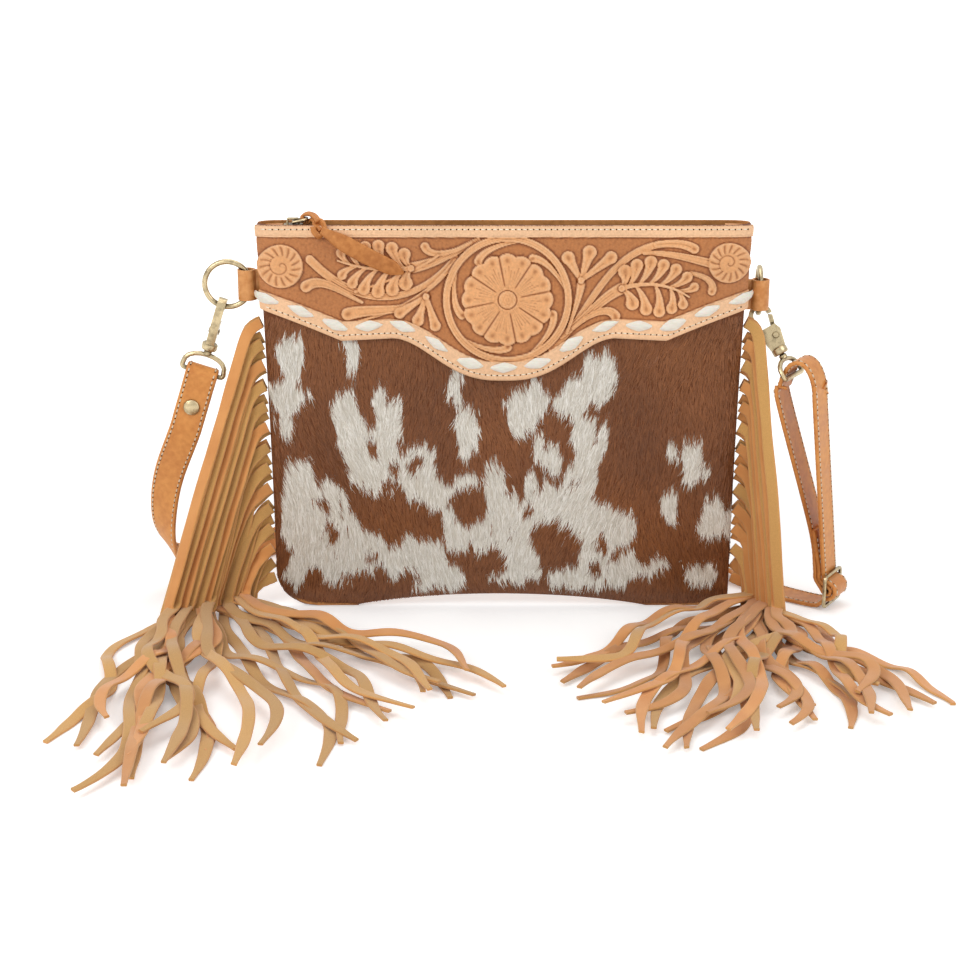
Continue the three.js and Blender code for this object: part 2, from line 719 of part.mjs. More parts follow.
for (const [name, facing] of [['zip_tape_front', -1], ['zip_tape_back', 1]]) {
  place(name, zipTape(facing), 0x2b2724, 0.5).position.z = ZIP_Z;
}

// A fold of leather over each end of the zip
function zipEndTab() {
  const inner = ZIP_THICKNESS / 2 + SEAT_GAP;
  const outer = inner + END_TAB_THICKNESS;
  const shape = new THREE.Shape();
  shape.moveTo(0, inner);
  shape.lineTo(END_TAB_LENGTH - 2, inner);
  shape.lineTo(END_TAB_LENGTH - 2, -inner);
  shape.lineTo(0, -inner);
  shape.lineTo(0, -outer);
  shape.lineTo(END_TAB_LENGTH - 0.6, -outer);
  shape.absarc(END_TAB_LENGTH - 1, 0, outer, -Math.PI / 3, Math.PI / 3, false);
  shape.lineTo(0, outer);
  shape.closePath();
  return extruded(shape, 2 * END_TAB_HALF_DEPTH, 3).rotateX(Math.PI / 2);
}

for (const [name, side] of [['zip_end_left', -1], ['zip_end_right', 1]]) {
  const tab = place(name, zipEndTab(), 0xc98850, 0.6);
  tab.position.set(side * (ZIP_HALF_LENGTH + SEAT_GAP - END_TAB_LENGTH + 2), 0, ZIP_Z);
  if (side < 0) tab.rotation.z = Math.PI;
}

const SLIDER_HALF_GAP = ZIP_THICKNESS / 2 + SEAT_GAP;
const SLIDER_TOP = SLIDER_HALF_GAP + SLIDER_PLATE;

// Slider: two plates, a throat post between them and a bridge for the bail
function zipSlider() {
  const shape = new THREE.Shape();
  const half = SLIDER_WIDTH / 2;
  shape.moveTo(-SLIDER_LENGTH / 2, -half * 0.55);
  shape.lineTo(-SLIDER_LENGTH / 2 + 2.4, -half);
  shape.lineTo(SLIDER_LENGTH / 2, -half * 0.8);
  shape.lineTo(SLIDER_LENGTH / 2, half * 0.8);
  shape.lineTo(-SLIDER_LENGTH / 2 + 2.4, half);
  shape.lineTo(-SLIDER_LENGTH / 2, half * 0.55);
  shape.closePath();
  const plate = (z) => extruded(shape, SLIDER_PLATE).translate(0, 0, z);
  const middle = SLIDER_HALF_GAP + SLIDER_PLATE / 2;
  const post = new THREE.BoxGeometry(1.8, 2, 2 * SLIDER_HALF_GAP + 0.4).translate(-3.6, 0, 0);
  const bridge = new THREE.Shape();
  bridge.moveTo(-4, SLIDER_TOP - 0.2);
  bridge.lineTo(-3.4, SLIDER_TOP + BRIDGE_HEIGHT + 1);
  bridge.lineTo(3, SLIDER_TOP + BRIDGE_HEIGHT + 1);
  bridge.lineTo(4, SLIDER_TOP - 0.2);
  bridge.lineTo(2.8, SLIDER_TOP - 0.2);
  bridge.lineTo(2.2, SLIDER_TOP + BRIDGE_HEIGHT);
  bridge.lineTo(-2.6, SLIDER_TOP + BRIDGE_HEIGHT);
  bridge.lineTo(-2.8, SLIDER_TOP - 0.2);
  bridge.closePath();
  const arch = extruded(bridge, 3).rotateX(Math.PI / 2);
  return joined(plate(middle), plate(-middle), post, arch);
}

place('zip_slider', zipSlider(), 0x8f7d58, 0.35, 0.9).position.set(SLIDER_X, 0, ZIP_Z);

// Bail: a wire stirrup whose crossbar turns under the bridge
const BAIL_Z = ZIP_Z + SLIDER_TOP + BRIDGE_HEIGHT / 2;

function bailStations() {
  const outline = [[0, -BAIL_HALF_WIDTH], [0, BAIL_HALF_WIDTH], [BAIL_REACH - 1.5, BAIL_HALF_WIDTH],
    [BAIL_REACH, BAIL_HALF_WIDTH - 1.2], [BAIL_REACH, -BAIL_HALF_WIDTH + 1.2],
    [BAIL_REACH - 1.5, -BAIL_HALF_WIDTH]];
  const rise = Math.tan(radians(BAIL_LIFT));
  const points = outline.map(([x, y]) => V(x, y, x * rise));
  return stationsAlong(points, points.map(() => V(-rise, 0, 1)), true);
}

const bail = place('zip_bail', sweep(bailStations(), roundSection(BAIL_WIRE, 6), true), 0x8f7d58, 0.35, 0.9);
bail.position.set(SLIDER_X, 0, BAIL_Z);

// Pull: a leather strip looped through the bail, draped over the front edge, with a flat tail
function pullStations() {
  const slope = radians(PULL_ANGLE);
  const along = V(Math.cos(slope), 0, -Math.sin(slope));
  const rise = V(Math.sin(slope), 0, Math.cos(slope));
  const half = PULL_THICKNESS / 2;
  const bailEnd = V(SLIDER_X + BAIL_REACH, 0, BAIL_Z + BAIL_REACH * Math.tan(radians(BAIL_LIFT)));
  const wrap = BAIL_WIRE + SEAT_GAP + half;
  const overTop = Math.max(BAG_HEIGHT + SEAT_GAP + half + 0.4, bailEnd.z + wrap * 0.5);
  const tipZ = BAG_HEIGHT - PULL_LENGTH * Math.sin(slope);
  const face = depthAt(0, tipZ, FRONT_BULGE) + YOKE_GAP + YOKE_THICKNESS + PULL_CLEARANCE + half;
  const lip = TOP_HALF_DEPTH + YOKE_GAP + YOKE_THICKNESS;
  const knot = [
    [V(bailEnd.x - wrap, 0, bailEnd.z - 0.4), V(0, 1, 0), 0.32],
    [V(bailEnd.x - wrap * 0.75, 0, bailEnd.z + wrap * 0.75), V(0, 1, 0), 0.32],
    [V(bailEnd.x + 0.3, 0, bailEnd.z + wrap + 0.1), V(0, 1, 0), 0.32],
    [V(bailEnd.x + wrap, -0.6, bailEnd.z + wrap * 0.8), V(0.3, 1, 0), 0.4],
    [V(bailEnd.x + wrap + 2, -4.5, overTop + 0.8), V(1, 0.5, 0.3), 0.55],
    [V(bailEnd.x + wrap + 4, -lip + 1, overTop + 0.2), V(1, 0.3, 0.2), 0.75],
    [V(bailEnd.x + wrap + 8, -face + 1.5, overTop - 1.8), V(0.8, 0.2, 0.6), 0.85],
  ];
  const start = V(bailEnd.x + wrap + 8, -face, overTop - 4);
  const tail = [[8, 0.8], [20, 0.75], [34, 0.95], [44, 1], [PULL_LENGTH - 8, 0.4]].map(([down, scale]) => [
    start.clone().addScaledVector(along, down), rise, scale,
  ]);
  const path = [...knot, ...tail];
  const stations = stationsAlong(path.map(([at]) => at), path.map(([, across]) => across));
  return stations.map((station, i) => ({ ...station, scale: path[i][2] }));
}

place('zip_pull', sweep(pullStations(), rectangle(PULL_WIDTH, PULL_THICKNESS)), 0xb87a45, 0.6);

// Rings in leather tabs at the side seams

const WIRE_OUTER = RING_RADIUS + RING_WIRE;
const WIRE_INNER = Math.sqrt((RING_RADIUS - RING_WIRE) ** 2 - (TAB_HEIGHT / 2) ** 2);
const WIRE_SPREAD = (WIRE_OUTER + WIRE_INNER) / 2;
const TAB_BORE = (WIRE_OUTER - WIRE_INNER) / 2 + SEAT_GAP;
const TAB_BARREL = TAB_BORE + TAB_LEATHER;
const TAB_AXIS_X = TOP_HALF_WIDTH + TAB_REACH - 0.7;

function ringTab(z) {
  const tongue = TAB_TONGUE / 2;
  const reach = TAB_AXIS_X - Math.abs(sideX(1, z)) + TAB_SEAM_DEPTH;
  const start = Math.asin(tongue / TAB_BARREL);
  const shape = new THREE.Shape();
  shape.absarc(0, 0, TAB_BARREL, start, 2 * Math.PI - start, false);
  shape.lineTo(reach, -tongue);
  shape.lineTo(reach, tongue);
  shape.closePath();
  const bore = new THREE.Path();
  bore.absarc(0, 0, TAB_BORE / Math.cos(Math.PI / 20), 0, 2 * Math.PI, true);
  shape.holes.push(bore);
  return extruded(shape, TAB_HEIGHT, 10);
}

const TAB_PLACES = { left: [-1, LEFT_TAB_Z, 0], right: [1, RIGHT_TAB_Z, RIGHT_RING_SWING] };

for (const [name, [side, z]] of Object.entries(TAB_PLACES)) {
  const tab = place(`tab_${name}`, ringTab(z), 0xd6945a, 0.5);
  tab.position.set(side * TAB_AXIS_X, 0, z);
  if (side > 0) tab.rotation.z = Math.PI;
}

// Snap hooks

function hookBody() {
  const bowY = -(HOOK_BOW_INNER - RING_WIRE - SEAT_GAP);
  const outer = HOOK_BOW_INNER + HOOK_BOW_METAL;
  const tip = radians(-10);
  const half = HOOK_THICKNESS;
  const shape = new THREE.Shape();
  shape.moveTo(outer * Math.cos(tip), bowY + outer * Math.sin(tip));
  shape.absarc(0, bowY, outer, tip, Math.PI, false);
  shape.lineTo(-outer + 0.4, HOOK_BODY_TOP - 2);
  shape.lineTo(-half + 0.6, HOOK_BODY_BOTTOM);
  shape.lineTo(half - 0.6, HOOK_BODY_BOTTOM);
  shape.lineTo(outer - 0.4, HOOK_BODY_TOP - 4);
  shape.lineTo(half, HOOK_BODY_TOP);
  shape.lineTo(-HOOK_BOW_INNER + 1, HOOK_BODY_TOP);
  shape.lineTo(-HOOK_BOW_INNER, HOOK_BODY_TOP + 1.4);
  shape.absarc(0, bowY, HOOK_BOW_INNER, Math.PI, tip, true);
  shape.closePath();
  const plate = extruded(shape, HOOK_THICKNESS, 8);
  const slotBottom = HOOK_BODY_BOTTOM - 0.6;
  const slotTop = HOOK_BODY_TOP + 1;
  const slotThickness = GATE_THICKNESS + 2 * SEAT_GAP;
  const slot = new THREE.BoxGeometry(10, slotTop - slotBottom, slotThickness)
    .translate(-1.5 + 5, (slotTop + slotBottom) / 2, 0);
  const pinHole = new THREE.CylinderGeometry(PIN_RADIUS + SEAT_GAP, PIN_RADIUS + SEAT_GAP, 8, 12)
    .rotateX(Math.PI / 2).translate(GATE_PIVOT_X, GATE_PIVOT_Y, 0);
  const floorY = COLLAR_BOTTOM + 1.6;
  const bore = POST_RADIUS + SEAT_GAP;
  const well = POST_HEAD_RADIUS + SEAT_GAP;
  const collar = lathed([[0, COLLAR_BOTTOM], [COLLAR_RADIUS - 0.5, COLLAR_BOTTOM],
    [COLLAR_RADIUS, COLLAR_BOTTOM + 0.8], [COLLAR_RADIUS, HOOK_BODY_BOTTOM - 0.3],
    [COLLAR_RADIUS - 0.8, HOOK_BODY_BOTTOM + 0.5], [0, HOOK_BODY_BOTTOM + 0.5]], 14);
  const wellCut = lathed([[0, COLLAR_BOTTOM - 1], [bore, COLLAR_BOTTOM - 1], [bore, floorY],
    [well, floorY], [well, HOOK_BODY_BOTTOM - 0.4], [0, HOOK_BODY_BOTTOM - 0.4]], 12);
  return cut(joined(plate, collar), slot, pinHole, wellCut);
}

function hookGate() {
  const bowY = -(HOOK_BOW_INNER - RING_WIRE - SEAT_GAP);
  const tip = radians(-10);
  const radial = HOOK_BOW_INNER + HOOK_BOW_METAL / 2;
  const noseX = radial * Math.cos(tip);
  const noseY = bowY + radial * Math.sin(tip) - SEAT_GAP * 1.6;
  const lean = Math.atan2(noseX - GATE_PIVOT_X, noseY - GATE_PIVOT_Y);
  const length = Math.hypot(noseX - GATE_PIVOT_X, noseY - GATE_PIVOT_Y);
  const half = GATE_WIDTH / 2;
  const lever = new THREE.Shape();
  const heel = 2.3;
  lever.absarc(0, 0, heel, Math.PI, 2 * Math.PI, false);
  lever.lineTo(half, 4);
  lever.lineTo(half, length - 0.9);
  lever.lineTo(-half, length);
  lever.lineTo(-half, 4);
  lever.closePath();
  const nose = new THREE.Shape();
  const shoulder = HOOK_BODY_TOP - GATE_PIVOT_Y + 1.6;
  nose.moveTo(half, shoulder);
  nose.lineTo(half, length - 0.9);
  nose.lineTo(-half, length);
  nose.lineTo(-half, shoulder);
  nose.closePath();
  const hole = new THREE.CylinderGeometry(PIN_RADIUS + SEAT_GAP, PIN_RADIUS + SEAT_GAP, 8, 12)
    .rotateX(Math.PI / 2);
  const gate = cut(joined(extruded(lever, GATE_THICKNESS, 5), extruded(nose, GATE_NOSE_THICKNESS)), hole);
  return gate.rotateZ(-lean).translate(GATE_PIVOT_X, GATE_PIVOT_Y, 0);
}

function gatePin() {
  const cheek = HOOK_THICKNESS / 2 + SEAT_GAP;
  const end = cheek + PIN_HEAD_HEIGHT;
  return lathed([[0, -end], [PIN_HEAD_RADIUS - 0.3, -end], [PIN_HEAD_RADIUS, -cheek], [PIN_RADIUS, -cheek],
    [PIN_RADIUS, cheek], [PIN_HEAD_RADIUS, cheek], [PIN_HEAD_RADIUS - 0.3, end], [0, end]], 10)
    .rotateX(Math.PI / 2).translate(GATE_PIVOT_X, GATE_PIVOT_Y, 0);
}

// A leaf that pushes the gate's heel outwards, in the slot behind it
function gateSpring() {
  const leafX = -1.5 + SEAT_GAP + 0.25;
  const shape = [[leafX, HOOK_BODY_BOTTOM + 0.8], [leafX, GATE_PIVOT_Y - 3], [leafX + 0.25, GATE_PIVOT_Y + 1],
    [leafX + 0.1, GATE_PIVOT_Y + 4.5]];
  const points = shape.map(([x, y]) => V(x, y, 0));
  return sweep(stationsAlong(points, points.map(() => UP)), rectangle(GATE_THICKNESS, 0.4));
}

// Swivel eye: a D of round wire with a headed post that turns in the hook's collar
function swivelEye() {
  const points = [];
  const rise = EYE_TOP - EYE_SHOULDER;
  const corner = EYE_SHOULDER - EYE_BAR;
  for (let i = 0; i <= 10; i += 1) {
    const angle = (Math.PI * i) / 10;
    points.push(V(EYE_HALF_WIDTH * Math.cos(angle), EYE_SHOULDER + rise * Math.sin(angle) ** 0.7, 0));
  }
  for (let i = 1; i <= 3; i += 1) {
    const angle = Math.PI + (Math.PI * i) / 6;
    points.push(V(-EYE_HALF_WIDTH + corner + corner * Math.cos(angle), EYE_SHOULDER + corner * Math.sin(angle), 0));
  }
  for (let i = 0; i < 3; i += 1) {
    const angle = (Math.PI * 3) / 2 + (Math.PI * i) / 6;
    points.push(V(EYE_HALF_WIDTH - corner + corner * Math.cos(angle), EYE_SHOULDER + corner * Math.sin(angle), 0));
  }
  const wire = sweep(stationsAlong(points, points.map(() => UP), true), roundSection(EYE_WIRE, 8), true);
  const headBottom = COLLAR_BOTTOM + 1.6 + SEAT_GAP;
  const post = lathed([[0, EYE_TOP], [2.4, EYE_TOP + 0.4], [2.4, COLLAR_BOTTOM - SEAT_GAP - 0.6],
    [POST_RADIUS, COLLAR_BOTTOM - SEAT_GAP], [POST_RADIUS, headBottom], [POST_HEAD_RADIUS, headBottom],
    [POST_HEAD_RADIUS - 0.4, headBottom + 1.1], [0, headBottom + 1.1]], 12);
  return joined(wire, post);
}

// Turns a piece so that its +Y points up and its +Z along normal
function aim(object, at, up, normal) {
  const side = up.clone().cross(normal).normalize();
  const square = side.clone().cross(up).normalize();
  object.matrix.makeBasis(side, up, square);
  object.quaternion.setFromRotationMatrix(object.matrix);
  object.position.copy(at);
}

// The bar of the right eye, the ring contact above it and the line between them
const LOOP_NORMAL = V(Math.cos(radians(LOOP_TURN)), -Math.sin(radians(LOOP_TURN)), 0);
const LOOP_WIDTH_WAY = V(Math.sin(radians(LOOP_TURN)), Math.cos(radians(LOOP_TURN)), 0);
const RIGHT_HOOK_WAY = LOOP_NORMAL.clone().multiplyScalar(RIGHT_HOOK_OUT).setZ(-1).normalize();

function ringPlace(side, z, swing) {
  const outward = V(side * Math.cos(radians(swing)), Math.sin(radians(swing)), 0);
  const centre = V(side * TAB_AXIS_X, 0, z).addScaledVector(outward, WIRE_SPREAD);
  const way = side < 0
    ? V(-Math.sin(radians(LEFT_HOOK_LEAN)), 0, -Math.cos(radians(LEFT_HOOK_LEAN)))
    : RIGHT_HOOK_WAY;
  const radial = way.clone();
  const face = outward.clone().cross(UP);
  radial.addScaledVector(face, -radial.dot(face)).normalize();
  const contact = centre.clone().addScaledVector(radial, RING_RADIUS);
  return { centre, outward, contact, way, tangent: radial.clone().cross(face).normalize() };
}

const HANGERS = {};
for (const [name, [side, z, swing]] of Object.entries(TAB_PLACES)) {
  const hanger = ringPlace(side, z, swing);
  hanger.up = hanger.way.clone().negate();
  hanger.bar = hanger.contact.clone().addScaledVector(hanger.way, -EYE_BAR);
  HANGERS[name] = hanger;
  const ring = place(`ring_${name}`, new THREE.TorusGeometry(RING_RADIUS, RING_WIRE, 8, 24), 0xb09a68, 0.35, 0.9);
  ring.rotation.set(Math.PI / 2, 0, 0);
  ring.position.copy(hanger.centre);
  if (side > 0) ring.rotation.set(Math.PI / 2, radians(swing), 0);
  const pieces = [
    ['hook', hookBody, 0xa8926a], ['gate', hookGate, 0xa8926a], ['gate_pin', gatePin, 0x8f7d58],
    ['gate_spring', gateSpring, 0x9a9a9a],
  ];
  for (const [piece, make, color] of pieces) {
    aim(place(`${piece}_${name}`, make(), color, 0.35, 0.9), hanger.contact, hanger.up, hanger.tangent);
  }
  const eyeNormal = side < 0 ? V(0, 1, 0) : LOOP_WIDTH_WAY.clone().cross(hanger.up);
  aim(place(`eye_${name}`, swivelEye(), 0xa8926a, 0.35, 0.9), hanger.contact, hanger.up, eyeNormal);
}

// Strap: riveted round the left eye, over the floor behind the bag, through the slider buckle,
// up and over, down through the right eye, and sewn round the buckle's middle bar

const HALF_STRAP = STRAP_THICKNESS / 2;
const PLY_OFFSET = HALF_STRAP + SEAT_GAP / 2;
const BUCKLE_Z = BUCKLE_BAR_PITCH + BUCKLE_WIRE + 2;
const buckleCentre = V(BUCKLE_X, BUCKLE_Y, 0);

function leftEndPath() {
  const { bar, way } = HANGERS.left;
  const wrap = EYE_WIRE + SEAT_GAP + HALF_STRAP + 0.3;
  const flat = [[-PLY_OFFSET, STRAP_TAIL], [-PLY_OFFSET, 13], [-2.4, 6]];
  for (let i = 0; i <= 6; i += 1) {
    const angle = Math.PI + (Math.PI * i) / 6;
    flat.push([wrap * Math.cos(angle), wrap * Math.sin(angle)]);
  }
  flat.push([2.4, 6], [PLY_OFFSET, 13], [PLY_OFFSET, 26], [PLY_OFFSET, STRAP_TAIL]);
  const across = way.clone().cross(V(0, 1, 0));
  return flat.map(([front, down]) => ({
    at: bar.clone().addScaledVector(way, down).add(V(0, -front, 0)),
    across,
  }));
}

// Behind the bag the strap stands on its edge, and comes down to it through a twist at each side
function floorPath() {
  const edge = STRAP_WIDTH / 2 + 0.4;
  const lay = STRAP_THICKNESS / 2 + 0.4;
  const back = FLOOR_REACH - HALF_STRAP;
  const route = [
    [-202, 5, 84, 0.9, -0.2, -0.3], [-207, 9, 62, 0.85, -0.4, -0.3], [-208, 15, 42, 0.7, -0.5, -0.5],
    [-204, 26, 25, 0.5, -0.4, -0.8], [-194, 42, 13.5, 0.2, -0.2, -1], [-176, 62, edge, 0, 0, -1],
    [-150, 88, edge, 0, 0, -1], [-126, 122, edge, 0, 0, -1], [-108, 162, edge, 0, 0, -1],
    [-84, 206, edge, 0, 0, -1], [-48, 242, edge, 0, 0, -1], [0, back, edge, 0, 0, -1],
    [48, 244, edge, 0, 0, -1], [84, 208, edge, 0, 0, -1], [102, 162, edge, 0, 0, -1],
    [106, 122, edge, 0, 0, -1], [114, 86, edge, 0.1, 0.1, -1], [130, 60, 9.2, 0.35, 0.4, -0.7],
    [152, 38, 5, 0.5, 0.75, -0.3], [172, 19.5, lay, 0.53, 0.848, 0],
  ];
  return route.map(([x, y, z, u, v, w]) => ({ at: V(x, y, z), across: V(u, v, w) }));
}

function inLoop(out, z, shift) {
  return buckleCentre.clone().addScaledVector(LOOP_NORMAL, out).addScaledVector(LOOP_WIDTH_WAY, shift)
    .add(V(0, 0, z));
}

function rightEndPath() {
  const { bar } = HANGERS.right;
  const offset = bar.clone().sub(buckleCentre);
  const barOut = offset.dot(LOOP_NORMAL);
  const topShift = offset.dot(LOOP_WIDTH_WAY);
  const shiftAt = (z) => topShift * smoothstep(z, BUCKLE_Z + LOOP_CLOSED, bar.z - 14);
  const crossing = radians(LOOP_CROSSING);
  const inward = V(Math.cos(crossing) / LOOP_HALF_WIDTH, -Math.sin(crossing) / LOOP_CROWN, 0).normalize();
  const rest = EYE_WIRE + SEAT_GAP + HALF_STRAP + 0.45;
  const crownOut = barOut - rest * inward.x + LOOP_HALF_WIDTH * Math.cos(crossing);
  const crownZ = bar.z - rest * inward.y - LOOP_CROWN * Math.sin(crossing);
  const lay = HALF_STRAP + 0.4;
  const m = BUCKLE_Z;
  const wrap = BUCKLE_WIRE + SEAT_GAP + HALF_STRAP;
  const around = wrap + STRAP_THICKNESS + SEAT_GAP;
  const behind = BUCKLE_WIRE + SEAT_GAP + HALF_STRAP + 0.2;
  const path = [[-20, lay], [-9, lay], [-5, lay + 1], [-behind - 0.3, m - 7.7], [0, m - 5.65]];
  for (const angle of [-58, -29, 0, 29, 58]) {
    path.push([around * Math.cos(radians(angle)) + 0.05, m + (around + 0.05) * Math.sin(radians(angle))]);
  }
  path.push([0, m + 5.65], [-behind - 0.2, m + 8.1], [-behind, m + BUCKLE_BAR_PITCH], [-behind, m + 13]);
  for (let i = 0; i <= 12; i += 1) {
    const angle = (Math.PI * i) / 12;
    path.push([crownOut + LOOP_HALF_WIDTH * Math.cos(angle), crownZ + LOOP_CROWN * Math.sin(angle)]);
  }
  const ply = STRAP_THICKNESS + SEAT_GAP;
  const tailOut = -behind - ply;
  const highOut = lerp(tailOut, crownOut - LOOP_HALF_WIDTH + ply, (SEWN_TAIL_TOP - m - 13) / (crownZ - m - 13));
  path.push([highOut - ply, SEWN_TAIL_TOP + 2], [tailOut - ply, m + 13], [tailOut - ply, m + 9.5],
    [tailOut - 1.9, m + 6], [-4.6, m + 2.3]);
  for (const angle of [190, 230, 270, 310, 350, 30, 62]) {
    path.push([wrap * Math.cos(radians(angle)), m + wrap * Math.sin(radians(angle))]);
  }
  path.push([0, m + wrap], [-1.8, m + 3.5], [-4.9, m + 6.1], [tailOut, m + 9], [tailOut, m + 13],
    [highOut, SEWN_TAIL_TOP]);
  return path.map(([out, z]) => ({ at: inLoop(out, z, shiftAt(z)), across: LOOP_WIDTH_WAY }));
}

function strap() {
  const path = [...leftEndPath(), ...floorPath(), ...rightEndPath()];
  const stations = stationsAlong(path.map((s) => s.at), path.map((s) => s.across));
  const { bar, way } = HANGERS.left;
  const hole = new THREE.CylinderGeometry(RIVET_SHANK + SEAT_GAP, RIVET_SHANK + SEAT_GAP, 12, 12);
  const at = bar.clone().addScaledVector(way, RIVET_DOWN);
  return cut(sweep(stations, rectangle(STRAP_WIDTH, STRAP_THICKNESS)), hole.translate(at.x, at.y, at.z));
}

place('strap', strap(), 0xd08c4b, 0.5);

function strapRivet() {
  const front = STRAP_THICKNESS + 1.5 * SEAT_GAP;
  const profile = [[0, -front - 1], [RIVET_BACK_CAP - 0.4, -front - 1], [RIVET_BACK_CAP, -front],
    [RIVET_SHANK, -front], [RIVET_SHANK, front], [RIVET_CAP, front], [RIVET_CAP - 0.3, front + 0.8],
    [RIVET_CAP * 0.5, front + 1.7], [0, front + 1.9]];
  return lathed(profile, 12).rotateX(Math.PI);
}

const rivetAt = HANGERS.left.bar.clone().addScaledVector(HANGERS.left.way, RIVET_DOWN);
place('strap_rivet', strapRivet(), 0xc8ab72, 0.35, 0.9).position.copy(rivetAt);

// Slider buckle: a rounded wire frame with a middle bar
function sliderBuckle() {
  const halfWidth = STRAP_WIDTH / 2 + BUCKLE_SIDE_CLEARANCE + BUCKLE_WIRE;
  const corner = 2;
  const outline = [];
  for (const [sx, sy, from] of [[1, 1, 0], [-1, 1, 90], [-1, -1, 180], [1, -1, 270]]) {
    for (const step of [0, 45, 90]) {
      const angle = radians(from + step);
      outline.push(V(sx * (halfWidth - corner) + corner * Math.cos(angle),
        sy * (BUCKLE_BAR_PITCH - corner) + corner * Math.sin(angle), 0));
    }
  }
  const frame = sweep(stationsAlong(outline, outline.map(() => UP), true), roundSection(BUCKLE_WIRE, 6), true);
  const bar = new THREE.CylinderGeometry(BUCKLE_WIRE, BUCKLE_WIRE, 2 * halfWidth, 8).rotateZ(Math.PI / 2);
  return joined(frame, bar);
}

const buckle = place('strap_buckle', sliderBuckle(), 0x9a855a, 0.35, 0.9);
aim(buckle, buckleCentre.clone().add(V(0, 0, BUCKLE_Z)), UP, LOOP_NORMAL);

// Fringe: a strip sewn into each side seam and cut into strands, which droop to the floor and spread

const LEFT_TIPS = [[-SIDE_REACH, -196], [-200, -226], [-156, -236], [-226, -262], [-98, -230], [-60, -176],
  [-33, -136], [-6, -140]];
const RIGHT_TIPS = [[SIDE_REACH, -150], [214, -168], [184, -176], [142, -182], [106, -206], [82, -214],
  [46, -150], [22, -100]];

// A repeatable scatter between 0 and 1 for strand k
function scatter(k, salt) {
  const value = Math.sin(k * 12.9898 + salt * 78.233) * 43758.5453;
  return value - Math.floor(value);
}

function strandRoot(side, k) {
  const pitch = (FRINGE_TOP - FRINGE_BOTTOM) / STRANDS;
  const z = FRINGE_TOP - pitch * (k + 0.5);
  return V(sideX(side, z), 0, z);
}

// Every fifth strand lies in the same layer on the floor, so that strands pass over each other
function layerOf(k) {
  return k % FRINGE_LAYERS;
}

// Where strand k hangs when it has dropped h below its root
function hangPoint(side, k, h) {
  const root = strandRoot(side, k);
  const spread = side < 0 ? LEFT_SPREAD : RIGHT_SPREAD;
  const out = 1.5 + 7 * (1 - Math.exp(-h / 3)) + spread * h;
  return V(root.x + side * out, -HANG_LEAN * h, root.z - h);
}

function floorLayerZ(k) {
  return FRINGE_THICKNESS / 2 + 0.4 + LAYER_STEP * layerOf(k);
}

function strandTip(side, k) {
  const tips = side < 0 ? LEFT_TIPS : RIGHT_TIPS;
  const place = (k / (STRANDS - 1)) * (tips.length - 1);
  const i = Math.min(Math.floor(place), tips.length - 2);
  const x = lerp(tips[i][0], tips[i + 1][0], place - i);
  const y = lerp(tips[i][1], tips[i + 1][1], place - i);
  return V(x, k === 0 ? y : y + 12 * (scatter(k, 4) - 0.5), 0);
}

// Strand k on the floor, at share 0 to 1 from where it lands to its tip
function floorPoint(side, k, share) {
  const root = strandRoot(side, k);
  const land = hangPoint(side, k, root.z - floorLayerZ(k));
  const tip = strandTip(side, k);
  const run = tip.clone().sub(land).setZ(0);
  const direct = run.length();
  const spare = STRAND_LENGTH - root.z * 1.12 - 10;
  const reach = Math.min(1, spare / direct);
  const slack = Math.sqrt(Math.max(0, (spare / direct) ** 2 - 1) * 2);
  const sway = Math.min((direct / (Math.PI * FLOOR_WAVES)) * slack, 10) * (layerOf(k) % 2 ? -1 : 1);
  const sideways = V(-run.y, run.x, 0).normalize();
  const point = land.clone().addScaledVector(run, share * reach);
  point.addScaledVector(sideways, sway * Math.sin(Math.PI * FLOOR_WAVES * share));
  point.y = THREE.MathUtils.clamp(point.y, -FLOOR_REACH + STRAND_HALF, -BAG_CLEARANCE * smoothstep(share, 0, 0.2));
  point.x = THREE.MathUtils.clamp(point.x, -SIDE_REACH + STRAND_HALF, SIDE_REACH - STRAND_HALF);
  point.z = floorLayerZ(k);
  return point;
}

function strandStations(side, k) {
  const root = strandRoot(side, k);
  const points = [-1, 1.2, 3].map((out) => V(root.x + side * out, 0, root.z));
  const widths = [UP, UP, UP];
  const turn = radians(HANG_TURN + lerp(-3, 3, scatter(k, 9)));
  const hung = V(side * Math.cos(turn), -side * Math.sin(turn), 0);
  const drop = root.z - floorLayerZ(k) - 6;
  const early = Math.min(7, drop * 0.35);
  for (const h of [early, drop]) {
    points.push(hangPoint(side, k, h));
    widths.push(hung.clone().lerp(UP, h === early ? 0.5 : 0));
  }
  const floorSteps = 6;
  for (let i = 1; i < floorSteps; i += 1) {
    const share = i / (floorSteps - 1);
    const ahead = floorPoint(side, k, Math.min(share + 0.02, 1)).sub(floorPoint(side, k, share - 0.02));
    const flat = V(-ahead.y, ahead.x, 0).normalize();
    if (flat.dot(hung) < 0) flat.negate();
    points.push(floorPoint(side, k, share));
    widths.push(flat);
  }
  return stationsAlong(points, widths);
}

